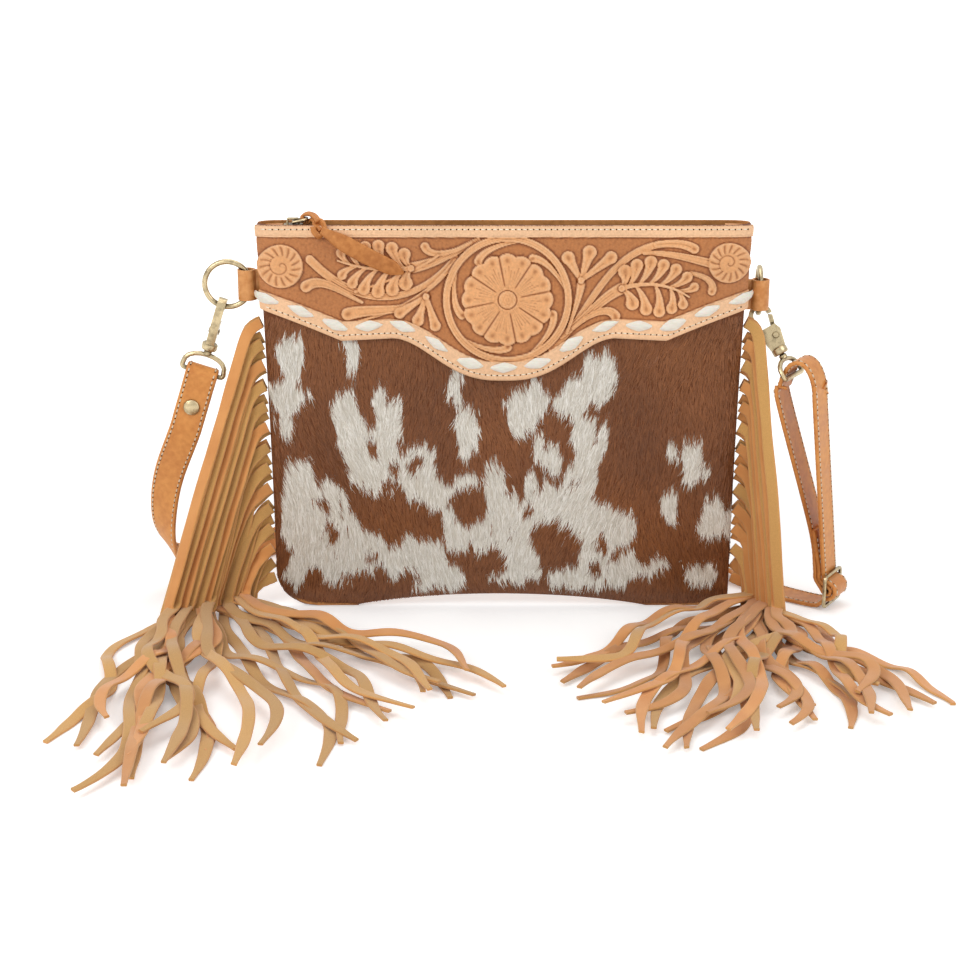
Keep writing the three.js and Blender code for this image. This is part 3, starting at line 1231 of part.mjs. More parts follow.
function fringe(side) {
  const pitch = (FRINGE_TOP - FRINGE_BOTTOM) / STRANDS;
  const width = pitch - STRAND_GAP;
  const shape = new THREE.Shape();
  const heights = [FRINGE_BOTTOM, 24, 60, 120, FRINGE_TOP];
  shape.moveTo(sideX(side, FRINGE_BOTTOM) - side * HEADER_DEPTH, FRINGE_BOTTOM);
  for (const z of heights) shape.lineTo(sideX(side, z) + side * 0.4, z);
  for (const z of heights.slice().reverse()) shape.lineTo(sideX(side, z) - side * HEADER_DEPTH, z);
  const header = extruded(shape, FRINGE_THICKNESS).rotateX(Math.PI / 2);
  const strands = [];
  for (let k = 0; k < STRANDS; k += 1) {
    strands.push(sweep(strandStations(side, k), rectangle(width, FRINGE_THICKNESS)));
  }
  return withoutPockets(joined(header, ...strands));
}

place('fringe_left', fringe(-1), 0xd09a5e, 0.7);
place('fringe_right', fringe(1), 0xd09a5e, 0.7);

export default group;
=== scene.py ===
"""Looks of the fringed leather crossbody bag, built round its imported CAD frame."""
import math

import bpy
import numpy as np
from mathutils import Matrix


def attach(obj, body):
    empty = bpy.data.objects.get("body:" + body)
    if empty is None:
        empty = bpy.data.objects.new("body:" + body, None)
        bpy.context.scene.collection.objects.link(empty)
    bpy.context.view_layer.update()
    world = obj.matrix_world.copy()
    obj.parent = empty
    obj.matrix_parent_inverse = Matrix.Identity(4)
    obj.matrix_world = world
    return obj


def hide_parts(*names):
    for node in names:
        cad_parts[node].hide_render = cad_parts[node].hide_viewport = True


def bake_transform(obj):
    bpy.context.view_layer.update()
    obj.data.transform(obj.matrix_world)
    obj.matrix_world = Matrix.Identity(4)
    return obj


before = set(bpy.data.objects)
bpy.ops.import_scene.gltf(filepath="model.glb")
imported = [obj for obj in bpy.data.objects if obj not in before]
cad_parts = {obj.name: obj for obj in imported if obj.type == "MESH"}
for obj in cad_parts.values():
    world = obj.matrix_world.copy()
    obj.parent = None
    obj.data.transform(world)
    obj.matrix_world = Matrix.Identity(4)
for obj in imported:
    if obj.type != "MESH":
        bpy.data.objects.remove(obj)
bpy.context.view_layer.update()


# Pouch hides
# The front is cowhide with its hair on, brown and white, and the back is plain smooth leather.
# Both are cut flat and sewn together wrong side out, so they belly out between the seams.

BAG_HEIGHT = 238.0
TOP_HALF_WIDTH = 143.0
WAIST_HALF_WIDTH = 138.3
FRONT_BULGE = 17.0
BACK_BULGE = 13.0
TOP_HALF_DEPTH = 8.6
HIDE_THICKNESS = 1.8


def linear(code):
    channels = [int(code[i:i + 2], 16) / 255 for i in (1, 3, 5)]
    curve = [c / 12.92 if c <= 0.04045 else ((c + 0.055) / 1.055) ** 2.4 for c in channels]
    return (*curve, 1.0)


def smooth(value, low, high):
    share = np.clip((value - low) / (high - low), 0, 1)
    return share * share * (3 - 2 * share)


def unit(vectors):
    return vectors / np.maximum(np.linalg.norm(vectors, axis=-1, keepdims=True), 1e-9)


def side_x(side, z):
    half = WAIST_HALF_WIDTH + (TOP_HALF_WIDTH - WAIST_HALF_WIDTH) * (z / BAG_HEIGHT) ** 2
    radius = np.where(np.asarray(side) < 0, 24.0, 8.0)
    below = np.maximum(radius - z, 0)
    return side * (half - (radius - np.sqrt(np.maximum(radius ** 2 - below ** 2, 0))))


def across_x(t, z):
    left = side_x(-1, z)
    return left + (side_x(1, z) - left) * (t + 1) / 2


def bottom_z(x):
    share = np.minimum(np.abs(x) / 88, 1)
    return 8 * (1 - share ** 2)


def depth_at(t, z, bulge):
    base = bottom_z(across_x(t, z))
    height = np.clip((z - base) / (BAG_HEIGHT - base), 0, 1)
    low = bulge * np.sin(np.pi / 2 * np.minimum(height / 0.4, 1)) ** 0.7
    high = TOP_HALF_DEPTH + (bulge - TOP_HALF_DEPTH) * np.cos(np.pi / 2 * (height - 0.4) / 0.6)
    full = np.where(height < 0.4, low, high)
    seam = 0.2 + 1.1 * smooth(z, 4, 11)
    lateral = np.sqrt(np.maximum(0, 1 - np.abs(t) ** (2.4 + 26 * height ** 4)))
    return seam + (full - seam * height) * lateral


def hide_point(t, z, facing, bulge):
    x = across_x(t, z)
    return np.stack([x, facing * depth_at(t, z, bulge), z + 0 * x], axis=-1)


def hide_normal(t, z, facing, bulge):
    side = (hide_point(np.minimum(t + 0.004, 1), z, facing, bulge)
            - hide_point(np.maximum(t - 0.004, -1), z, facing, bulge))
    rise = (hide_point(t, np.minimum(z + 0.5, BAG_HEIGHT), facing, bulge)
            - hide_point(t, np.maximum(z - 0.5, 0), facing, bulge))
    return unit(np.cross(side, rise) * -facing)


def over_hide(x, z, lift):
    """Points over the front hide at x and z, lifted from its outside, and the way out there."""
    left = side_x(-1, z)
    t = np.clip(2 * (x - left) / (side_x(1, z) - left) - 1, -0.9995, 0.9995)
    normal = hide_normal(t, z, -1, FRONT_BULGE)
    return hide_point(t, z, -1, FRONT_BULGE) + normal * np.asarray(lift)[..., None], normal


def grid_piece(name, points, wrap=False):
    """A grid primitive whose vertices take the places in points, rows by columns, in millimetres."""
    rows, columns = points.shape[:2]
    bpy.ops.object.select_all(action="DESELECT")
    bpy.ops.mesh.primitive_grid_add(x_subdivisions=columns - 1, y_subdivisions=rows - 1, size=2)
    piece = bpy.context.object
    piece.name = name
    piece.data.name = name
    flat = np.empty(len(piece.data.vertices) * 3)
    piece.data.vertices.foreach_get("co", flat)
    flat = flat.reshape(-1, 3)
    column = np.rint((flat[:, 0] + 1) / 2 * (columns - 1)).astype(int)
    row = np.rint((flat[:, 1] + 1) / 2 * (rows - 1)).astype(int)
    piece.data.vertices.foreach_set("co", (points[row, column] * 0.001).ravel())
    if wrap:
        close_tube(piece)
    piece.data.update()
    return piece, row, column


def close_tube(piece):
    bpy.ops.object.mode_set(mode="EDIT")
    bpy.ops.mesh.select_all(action="SELECT")
    bpy.ops.mesh.remove_doubles(threshold=1e-7)
    bpy.ops.mesh.select_all(action="DESELECT")
    bpy.ops.mesh.select_non_manifold(extend=False)
    bpy.ops.mesh.edge_face_add()
    bpy.ops.mesh.select_all(action="SELECT")
    bpy.ops.mesh.normals_make_consistent(inside=False)
    bpy.ops.object.mode_set(mode="OBJECT")


def apply_modifier(piece, kind, **settings):
    bpy.ops.object.select_all(action="DESELECT")
    bpy.context.view_layer.objects.active = piece
    piece.select_set(True)
    modifier = piece.modifiers.new(kind.title(), kind)
    for key, value in settings.items():
        setattr(modifier, key, value)
    bpy.ops.object.modifier_apply(modifier=modifier.name)


def shade(piece, degrees=40):
    bpy.ops.object.select_all(action="DESELECT")
    bpy.context.view_layer.objects.active = piece
    piece.select_set(True)
    bpy.ops.object.shade_smooth_by_angle(angle=math.radians(degrees))


def finish_piece(piece, material, body="bag", replaces=()):
    piece.data.materials.clear()
    piece.data.materials.append(material)
    if body:
        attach(piece, body)
    if replaces:
        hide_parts(*replaces)


def pigment(code):
    """A colour as linear red, green and blue, for paint on vertices."""
    return np.array(linear(code)[:3])


def paint(piece, name, colors):
    """A colour at each vertex, from linear red, green and blue."""
    layer = piece.data.color_attributes.new(name, "FLOAT_COLOR", "POINT")
    full = np.ones((len(piece.data.vertices), 4))
    full[:, :3] = colors
    layer.data.foreach_set("color", full.ravel())


def new_material(name, **settings):
    """A material with its Principled shader's sockets set, and a function that adds a node to it."""
    material = bpy.data.materials.new(name)
    material.use_nodes = True
    tree = material.node_tree
    shader = tree.nodes["Principled BSDF"]

    def add(kind, links=None, **fields):
        new = shader if kind == "shader" else tree.nodes.new(kind)
        for key, value in fields.items():
            setattr(new, key, value)
        for socket, source in (links or {}).items():
            if isinstance(source, bpy.types.NodeSocket):
                tree.links.new(source, new.inputs[socket])
            else:
                new.inputs[socket].default_value = source
        return new

    add("shader", {key.replace("_", " "): value for key, value in settings.items()})
    return material, add


def noise_at(x, z, scale, seed):
    """Smooth repeatable noise between -1 and 1 at points in millimetres, with lumps about scale wide."""
    generator = np.random.default_rng(seed)
    total = np.zeros(np.shape(x))
    for _ in range(14):
        angle = generator.uniform(0, 2 * np.pi)
        wave = generator.uniform(0.6, 1.6) * np.pi / scale
        total = total + np.sin(wave * (x * np.cos(angle) + z * np.sin(angle)) + generator.uniform(0, 7))
    return total / 5.3


# White patches of the coat: x, z, half width, half height
WHITE = (
    (-124, 160, 6.4, 15.6), (-127, 140, 9.5, 7.3), (-130, 122, 4.2, 8.3), (-90, 166, 3.2, 9.4),
    (-93, 127, 8.5, 15.6), (-78, 103, 15.9, 20.8), (-67, 124, 6.4, 13.5), (-49, 94, 10.6, 17.7),
    (-21, 119, 7.4, 13.5), (-28, 143, 2.1, 8.3), (-73, 136, 2.1, 9.4), (-39, 80, 8.5, 9.4),
    (-23, 89, 7.4, 4.2), (-120, 75, 12.7, 22.9), (-124, 55, 9.5, 13.5), (-104, 75, 8.5, 12.5),
    (-97, 59, 8.5, 8.3), (-107, 50, 11.7, 9.4), (-116, 41, 10.6, 12.5), (-88, 44, 10.6, 10.4),
    (-98, 31, 12.7, 9.4), (-71, 33, 9.5, 10.4), (-79, 48, 8.5, 5.2), (-58, 40, 11.7, 9.4),
    (-45, 37, 9.5, 11.4), (-40, 25, 15.9, 8.3), (-32, 60, 5.3, 9.4), (-27, 52, 4.2, 7.3),
    (-6, 86, 5.3, 12.5), (-2, 70, 8.5, 13.5), (8, 64, 12.7, 10.4), (22, 74, 12.7, 9.4),
    (17, 85, 4.2, 6.2), (-12, 53, 6.4, 8.3), (-6, 48, 12.7, 7.3), (10, 42, 8.5, 12.5),
    (14, 31, 8.5, 10.4), (2, 26, 10.6, 4.2), (15, 137, 10.6, 9.4), (10, 126, 5.3, 9.4),
    (58, 154, 11.7, 12.5), (46, 143, 9.5, 9.4), (41, 135, 7.4, 8.3), (47, 119, 5.3, 11.4),
    (51, 102, 5.3, 11.4), (49, 89, 6.4, 9.4), (41, 91, 4.2, 5.2), (38, 79, 6.4, 9.4),
    (43, 70, 10.6, 10.4), (56, 63, 12.7, 10.4), (68, 57, 9.5, 11.4), (60, 47, 8.5, 10.4),
    (23, 108, 5.3, 7.3), (27, 100, 3.2, 7.3), (59, 112, 3.2, 9.4), (53, 36, 8.5, 8.3),
    (64, 25, 13.8, 9.4), (42, 23, 13.8, 6.2), (77, 34, 6.4, 6.2), (91, 30, 7.4, 6.2),
    (100, 107, 3.2, 4.2), (113, 99, 4.2, 14.6), (120, 93, 5.3, 3.1), (100, 73, 3.2, 10.4),
    (125, 62, 4.2, 11.4), (121, 24, 9.5, 5.2), (135, 58, 2.1, 7.3), (-126, 27, 6.4, 8.3),
)
# Brown spots inside the white ones
BROWN = (
    (-79, 108, 4.2, 5.2), (-64, 96, 4.2, 5.2), (-51, 99, 3.2, 4.2), (59, 46, 4.2, 4.2),
    (57, 30, 6.4, 4.2), (-81, 38, 4.2, 4.2), (-91, 25, 6.4, 3.1), (-74, 25, 4.2, 3.1),
    (-109, 70, 6.4, 3.1), (-103, 54, 6.4, 4.2), (17, 70, 3.2, 4.2), (42, 88, 2.1, 3.1),
    (-9, 35, 12.7, 8.3), (-58, 23, 8.5, 4.2), (-106, 97, 10.6, 5.2),
)


def coat_at(x, z):
    """How white the coat is, from 0 to 1: listed patches with edges that run down with the hair."""
    jitter_x = x + (2.6 * noise_at(x, z * 0.35, 9, 3) + 1.3 * noise_at(x, z * 0.3, 3.2, 4))
    jitter_z = z + (3.4 * noise_at(x, z * 0.4, 7, 5) + 2.2 * noise_at(x * 2.4, z * 0.3, 3.4, 6))

    def cover(patches, grow):
        nearest = np.full(np.shape(x), 9.0)
        for px, pz, half_x, half_z in patches:
            reach = np.hypot((jitter_x - px) / (half_x + grow), (jitter_z - pz) / (half_z + grow))
            nearest = np.minimum(nearest, reach)
        return nearest

    flecks = 0.13 * noise_at(x, z * 0.5, 6, 21) + 0.1 * noise_at(x * 2, z * 0.6, 3, 22)
    white = cover(WHITE, 1.6) + flecks
    white = np.where((noise_at(x * 1.3, z * 0.5, 3.6, 23) > 1.75) & (white < 1.9), 0.5, white)
    brown = cover(BROWN, 0.4) + flecks
    return np.where(brown < 1, 0.0, 1 - smooth(white, 0.93, 1.07))


# Tanned cowhide under the hair, with its own colour in the same patches
skin, add = new_material("hair-on cowhide, skin", Roughness=0.7, Specular_IOR_Level=0.3)
add("shader", {"Base Color": add("ShaderNodeVertexColor", layer_name="coat").outputs["Color"]})


def hide_rows(columns, rows, facing, bulge):
    """Points over a whole hide, closest together at its side seams and its bottom edge."""
    t = np.sin(np.pi / 2 * np.linspace(-1, 1, columns))
    base = bottom_z(across_x(t, 0.0))
    z = base + (BAG_HEIGHT - base) * np.linspace(0, 1, rows)[:, None] ** 1.25
    return hide_point(np.broadcast_to(t, z.shape), z, facing, bulge)


front_points = hide_rows(201, 171, -1, FRONT_BULGE)
front_hide, row, column = grid_piece("front_hide", front_points)
coat = coat_at(front_points[..., 0], front_points[..., 2])[row, column]
brown_skin, white_skin = pigment("#6a3a1c"), pigment("#d6cfc2")
paint(front_hide, "coat", brown_skin + (white_skin - brown_skin) * coat[:, None])
apply_modifier(front_hide, "SOLIDIFY", thickness=HIDE_THICKNESS * 0.001, offset=-1)
shade(front_hide)
finish_piece(front_hide, skin, replaces=("front_panel",))


# Hair of the front hide
# Short straight cow hair, 6 to 9 mm long, that lies down the bag and a little to one side.
# It grows from the hide: each hair has the colour of the skin at its root, so the patches end raggedly.

HAIRS = 46000


def yoke_drop(x):
    """How far the yoke's scalloped lower edge lies below the top of the bag."""
    side = np.abs(x)
    outer = 49 + 17.5 * np.clip((TOP_HALF_WIDTH - side) / 47, 0, 1) ** 1.15
    shoulder = 66.5 - 1.5 * np.clip((96 - side) / 30, 0, 1)
    belly = 65 + 25 * (0.5 + 0.5 * np.cos(np.pi * np.minimum(side / 66, 1) ** 1.35))
    return np.where(side > 96, outer, np.where(side > 66, shoulder, belly))


def hair_coat():
    """Points, faces and colours of all the hairs: a tapering blade each, of a quad and a tip."""
    rng = np.random.default_rng(11)
    x = rng.uniform(-139, 139, HAIRS * 2)
    z = rng.uniform(4, 185, HAIRS * 2)
    inside = (np.abs(x) < np.abs(side_x(np.sign(x), z)) - 0.6) & (z < BAG_HEIGHT - yoke_drop(x) + 5)
    x, z = x[inside][:HAIRS], z[inside][:HAIRS]
    length = np.minimum(rng.uniform(5.5, 9.0, len(x)), z - bottom_z(x) - 0.8)
    keep = length > 1.2
    x, z, length = x[keep], z[keep], length[keep]
    lean = 0.22 * noise_at(x, z, 60, 8) + 0.1 * noise_at(x, z, 16, 9) - 0.08 * x / 140
    lean = lean + rng.normal(0, 0.09, len(x))
    width = rng.uniform(0.3, 0.52, len(x))
    rows = []
    for part, lift, wide in ((0, 0.02, 1.0), (0.5, 0.3, 0.85), (1, 0.5, 0.0)):
        px = np.clip(x + length * part * np.sin(lean * (1 + part)), -139.5, 139.5)
        pz = z - length * part * np.cos(lean)
        lift = lift * rng.uniform(0.4, 1.6, len(x)) if part else lift
        point, normal = over_hide(px, pz, lift * np.ones(len(x)))
        lateral = unit(np.cross(normal, np.array([0.0, 0.0, 1.0])))
        lateral = lateral * np.sign(-lateral[:, :1] + 1e-9)
        tilt = rng.normal(0, 0.25, len(x))[:, None] if part == 0 else tilt
        across = unit(lateral + normal * tilt) * (width * wide / 2)[:, None]
        rows.append((point - across, point + across))
    count = len(x)
    vertices = np.concatenate([rows[0][0], rows[0][1], rows[1][1], rows[1][0], rows[2][0]])
    i = np.arange(count)
    quads = np.stack([i, i + count, i + 2 * count, i + 3 * count], axis=1)
    tips = np.stack([i + 3 * count, i + 2 * count, i + 4 * count], axis=1)
    white = coat_at(x, z) > 0.5
    tone = rng.uniform(0, 1, count)[:, None] ** 1.3
    patch = (0.5 + 0.5 * noise_at(x, z, 45, 12))[:, None]
    dark, warm, cream, chalk = (pigment(code) for code in ("#5c3319", "#965c32", "#d4cdbf", "#fbf8f1"))
    brown = dark + (warm - dark) * np.clip(0.25 + 0.45 * tone + 0.35 * patch, 0, 1)
    pale = cream + (chalk - cream) * tone
    color = np.where(white[:, None], pale, brown)
    return vertices, quads, tips, np.tile(color, (5, 1))


vertices, quads, tips, colors = hair_coat()
mesh = bpy.data.meshes.new("cow_hair")
mesh.from_pydata((vertices * 0.001).tolist(), [], quads.tolist() + tips.tolist())
hair = bpy.data.objects.new("cow_hair", mesh)
bpy.context.scene.collection.objects.link(hair)
paint(hair, "coat", colors)

# Hair is smooth keratin: a soft gloss along it, no grain
hair_material, add = new_material("cow hair", Roughness=0.42, Specular_IOR_Level=0.35, Sheen_Weight=0.15,
                                  Sheen_Roughness=0.4)
add("shader", {"Base Color": add("ShaderNodeVertexColor", layer_name="coat").outputs["Color"]})
for polygon in mesh.polygons:
    polygon.use_smooth = True
finish_piece(hair, hair_material)


# Back hide and lining
# The back is one piece of smooth tan leather. Inside hangs a plain cotton lining, sewn in at the zip.


def leather(name, light, dark, grain_mm=1.1, roughness=0.5, bump=0.25, sheen=0.0):
    """Drum-dyed or vegetable-tanned leather: pebbled grain, uneven dye, soft wax gloss."""
    material, add = new_material(name, Specular_IOR_Level=0.35, Sheen_Weight=sheen, Sheen_Roughness=0.5)
    place = add("ShaderNodeTexCoord").outputs["Object"]
    dye = add("ShaderNodeTexNoise", {"Vector": place, "Scale": 1000 / 28, "Detail": 4.0})
    fine = add("ShaderNodeTexNoise", {"Vector": place, "Scale": 1000 / 3.5, "Detail": 3.0})
    uneven = add("ShaderNodeMath", {0: dye.outputs["Fac"], 1: fine.outputs["Fac"]}, operation="ADD")
    spread = add("ShaderNodeMapRange", {"Value": uneven.outputs["Value"], "From Min": 0.75, "From Max": 1.25})
    color = add("ShaderNodeMix", {"Factor": spread.outputs["Result"], 6: linear(dark), 7: linear(light)},
                data_type="RGBA")
    pebble = add("ShaderNodeTexVoronoi", {"Vector": place, "Scale": 1000 / grain_mm},
                 feature="DISTANCE_TO_EDGE")
    pores = add("ShaderNodeTexNoise", {"Vector": place, "Scale": 1000 / (grain_mm * 0.6), "Detail": 2.0})
    grain = add("ShaderNodeMath", {0: pebble.outputs["Distance"], 1: pores.outputs["Fac"]}, operation="ADD")
    relief = add("ShaderNodeBump", {"Height": grain.outputs["Value"], "Strength": bump, "Distance": 0.0004})
    worn = add("ShaderNodeMapRange", {"Value": dye.outputs["Fac"], "From Min": 0.3, "From Max": 0.7,
                                      "To Min": roughness - 0.07, "To Max": roughness + 0.09})
    add("shader", {"Base Color": color.outputs[2], "Roughness": worn.outputs["Result"],
                   "Normal": relief.outputs["Normal"]})
    return material


back_leather = leather("smooth tan leather", "#c98a4f", "#a9703a")
back_points = hide_rows(121, 91, 1, BACK_BULGE)[:, ::-1]
back_points[..., 1] += 0.45 * noise_at(back_points[..., 0], back_points[..., 2], 70, 21) * smooth(
    back_points[..., 2], 5, 40) * smooth(-back_points[..., 2], -232, -200)
back_hide, row, column = grid_piece("back_hide", back_points)
apply_modifier(back_hide, "SOLIDIFY", thickness=HIDE_THICKNESS * 0.001, offset=-1)
shade(back_hide)
finish_piece(back_hide, back_leather, replaces=("back_panel",))


def dress(node, material):
    """Gives a solid of the frame its material; its mesh stays as it is."""
    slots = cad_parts[node].data.materials
    slots.clear()
    slots.append(material)


# Plain-woven cotton, threads drawn 0.8 mm apart
lining_cloth, add = new_material("cotton lining", Roughness=0.9, Specular_IOR_Level=0.15)
place = add("ShaderNodeTexCoord").outputs["Object"]
weave_x = add("ShaderNodeTexWave", {"Vector": place, "Scale": 1000 / 0.8 / 6.28}, bands_direction="X")
weave_z = add("ShaderNodeTexWave", {"Vector": place, "Scale": 1000 / 0.8 / 6.28}, bands_direction="Z")
woven = add("ShaderNodeMath", {0: weave_x.outputs["Fac"], 1: weave_z.outputs["Fac"]}, operation="MULTIPLY")
tint = add("ShaderNodeMix", {"Factor": woven.outputs["Value"], 6: linear("#5f4730"), 7: linear("#8a6a4a")},
           data_type="RGBA")
relief = add("ShaderNodeBump", {"Height": woven.outputs["Value"], "Strength": 0.3, "Distance": 0.0003})
add("shader", {"Base Color": tint.outputs[2], "Normal": relief.outputs["Normal"]})
dress("lining", lining_cloth)


# Tooled yoke
# Thick vegetable-tanned leather, cut with a swivel knife and stamped: flower, scrolls and leaves stand
# at the leather's own height, and the ground round them is beaten down, matted and stained darker.

YOKE_GAP = 0.7
YOKE_THICKNESS = 2.6
TOP_BAND = 6.8
LOWER_BAND = 11.3
GROUND = -0.85
FLOWER = (2.0, 42.6)

flat_x = np.linspace(-141.6, 141.6, 601)
share = np.linspace(1, 0, 151)[:, None]
drop = yoke_drop(flat_x) * (1 - share)
height_z = BAG_HEIGHT - drop
place_x = flat_x * (side_x(1, height_z) - 1.3) / 141.7
relief = GROUND + 0.1 * noise_at(place_x, drop, 1.6, 31) + 0.07 * noise_at(place_x, drop, 1.0, 32)


def bezier(a, b, c, d, count=22):
    s = np.linspace(0, 1, count)[:, None]
    a, b, c, d = (np.array(p, float) for p in (a, b, c, d))
    return a * (1 - s) ** 3 + 3 * b * s * (1 - s) ** 2 + 3 * c * s * s * (1 - s) + d * s ** 3


def line_distance(points, widths=(0.0, 0.0)):
    """Distance from a drawn line, less its half width, which runs evenly between the two widths."""
    nearest = np.full(relief.shape, 1e9)
    count = len(points) - 1
    for i in range(count):
        (ax, ay), (bx, by) = points[i], points[i + 1]
        run_x, run_y = bx - ax, by - ay
        along = ((place_x - ax) * run_x + (drop - ay) * run_y) / max(run_x ** 2 + run_y ** 2, 1e-9)
        along = np.clip(along, 0, 1)
        away = np.hypot(place_x - ax - along * run_x, drop - ay - along * run_y)
        half = widths[0] + (widths[1] - widths[0]) * (i + along) / count
        nearest = np.minimum(nearest, away - half)
    return nearest


def raise_shape(distance, top=0.0):
    """A shape cut round with the knife and bevelled: flat inside, a soft dent just outside its outline."""
    inside = smooth(-distance, -0.2, 0.3)
    relief[:] = relief * (1 - inside) + top * inside
    relief[:] -= 0.42 * np.exp(-np.maximum(distance, 0) / 0.8) * (1 - inside)


def cut_line(distance, depth=0.34, half=0.36):
    relief[:] -= depth * np.exp(-(distance / half) ** 2)


def scroll(a, b, c, d, thick, thin, lines=1):
    """A stem or comma leaf: a tapering raised stroke with knife cuts that run along it."""
    path = bezier(a, b, c, d)
    raise_shape(line_distance(path, (thick, thin)), -0.06)
    across = np.gradient(path, axis=0)
    across = unit(np.stack([-across[:, 1], across[:, 0]], axis=1))
    half = np.linspace(thick, thin, len(path))[:, None]
    for i in range(lines):
        offset = 0.0 if lines == 1 else -0.5 + i / (lines - 1)
        cut_line(line_distance((path + across * half * offset)[:-3]), 0.3, 0.3)


def swirl(centre, radius, turn):
    """A round scroll end: a spiral of twisted cuts round a small eye."""
    dx, dd = place_x - centre[0], drop - centre[1]
    distance = np.hypot(dx, dd)
    angle = np.arctan2(dd, dx) * turn
    raise_shape(distance - radius, -0.04)
    twist = np.sin(15 * angle + distance * 0.55)
    rim = smooth(distance, radius * 0.42, radius * 0.55) * smooth(-distance, -radius, -radius * 0.86)
    relief[:] -= 0.42 * rim * np.maximum(twist, -0.3)
    spiral = np.abs((distance / radius * 2.1 - angle / (2 * np.pi)) % 1 - 0.5) * radius / 2.1
    cut_line(spiral + 9 * (distance > radius * 0.52), 0.45, 0.5)


def berry(x, d, radius=2.0):
    """A round seed with a ring cut round it and a dent in the middle."""
    distance = np.hypot(place_x - x, drop - d)
    raise_shape(distance - radius, 0.15)
    cut_line(distance - radius * 0.3, 0.3, 0.5)


def cupped(tip, from_way, size):
    """The pear-shaped dent in the round end of a leaf or petal."""
    dx, dd = place_x - tip[0], drop - tip[1]
    heading = np.hypot(*from_way)
    along = (dx * from_way[0] + dd * from_way[1]) / max(heading, 1e-6)
    across = (dx * from_way[1] - dd * from_way[0]) / max(heading, 1e-6)
    relief[:] -= 0.5 * np.exp(-(across / size) ** 2 - (along / (size * 1.5)) ** 2)


# Stems that leave the vine: start, two guides, end, thick and thin, number of cuts, cupped end or not
for *ends, thick, thin, lines, cup in (
    ((-28, 18), (-49, 45.4), (-82, 51), (-112, 19.4), 1.6, 2.6, 3, 0),
    ((-15, 8.3), (-28, 15), (-40, 21.7), (-52.7, 24.1), 1.6, 3.2, 3, 0),
    ((-28, 20.4), (-44, 40.7), (-61, 49.1), (-84, 55), 1.5, 0.8, 1, 0),
    ((-19, 10), (-33, 17.5), (-44, 17.5), (-45.6, 12), 0.8, 2.6, 1, 1),
    ((-82.4, 44), (-95.8, 37), (-106, 28.7), (-114.4, 35), 1.0, 3.4, 2, 1),
    ((-46, 40.7), (-57.5, 51.8), (-76.7, 46.7), (-90.5, 51), 1.2, 3.8, 2, 1),
    ((27.3, 71.3), (48.4, 56.5), (56, 15.9), (90.4, 10.6), 1.8, 2.2, 3, 0),
    ((88, 10.8), (98.1, 9.6), (104.8, 10.4), (109.5, 13.4), 2.0, 2.9, 1, 1),
    ((33.1, 63.9), (48.4, 52.8), (56, 41.6), (68, 36.1), 1.6, 3.4, 3, 0),
    ((40, 59), (52, 49.1), (60.7, 46.2), (64.6, 52), 1.0, 3.0, 2, 1),
    ((80.9, 15.7), (96.2, 15.3), (109.6, 19.4), (123.4, 22.7), 1.3, 2.8, 2, 0),
    ((107.6, 27.3), (116.2, 28.7), (122, 32.4), (120.1, 37.9), 1.2, 2.4, 2, 1),
    ((36.5, 62), (41.6, 47.1), (43.5, 41.1), (44.5, 33.9), 0.8, 2.4, 1, 0),
    ((-38, 17), (-44, 22), (-60, 30), (-86, 38), 0.7, 0.9, 0, 0),
):
    scroll(*ends, thick, thin, lines)
    if cup:
        cupped(ends[3], np.subtract(ends[3], ends[2]), thin * 0.5)

# Two leaves of round lobes on a midrib; each lobe is cupped, and cuts run back from it to the rib
for rib, lobes in (
    (((-53.7, 24.5), (-69, 25.9), (-82.4, 25), (-96, 20)),
     ((-57.6, 16.6, 3.9), (-64.7, 13.0, 3.8), (-72.4, 11.8, 3.8), (-80, 12.4, 3.6),
      (-87.2, 13.7, 3.4), (-93.9, 15.7, 3.0), (-56.9, 32.9, 4.3), (-64.6, 36.4, 4.1),
      (-72.8, 37.6, 4.0), (-81, 36.2, 3.7), (-87.6, 32.9, 3.3), (-93.5, 28.2, 3.0))),
    (((68, 36.1), (80.9, 31.9), (95.2, 32.8), (107, 41)),
     ((69.9, 26.6, 4.3), (76.6, 22.8, 3.9), (84.6, 21.0, 3.9), (92.0, 22.7, 3.7),
      (99.2, 25.2, 3.6), (105.7, 29.6, 3.3), (110, 35.3, 2.8), (74.4, 44.6, 4.1),
      (82.4, 48.0, 3.8), (90.0, 49.2, 3.7), (97.2, 47.6, 3.4), (103.6, 45.2, 3.1))),
):
    spine = bezier(*rib, 60)
    for x, d, size in lobes:
        near = np.argmin(np.hypot(spine[:, 0] - x, spine[:, 1] - d))
        root = spine[max(near - 9, 0)] * 0.94 + 0.06 * np.array([x, d])
        leave = root * 0.62 + np.array([x, d]) * 0.38 + (spine[near] - spine[max(near - 6, 0)]) * 0.6
        path = bezier(root, leave, (x, d + (d < spine[near, 1]) - 0.5), (x, d))
        raise_shape(line_distance(path, (0.9, size)))
        cupped((x, d), path[-1] - path[-8], size * 0.5)
        cut_line(line_distance(path[2:-7]), 0.28, 0.3)
    raise_shape(line_distance(spine, (1.5, 0.6)), 0.05)
    berry(*rib[0])

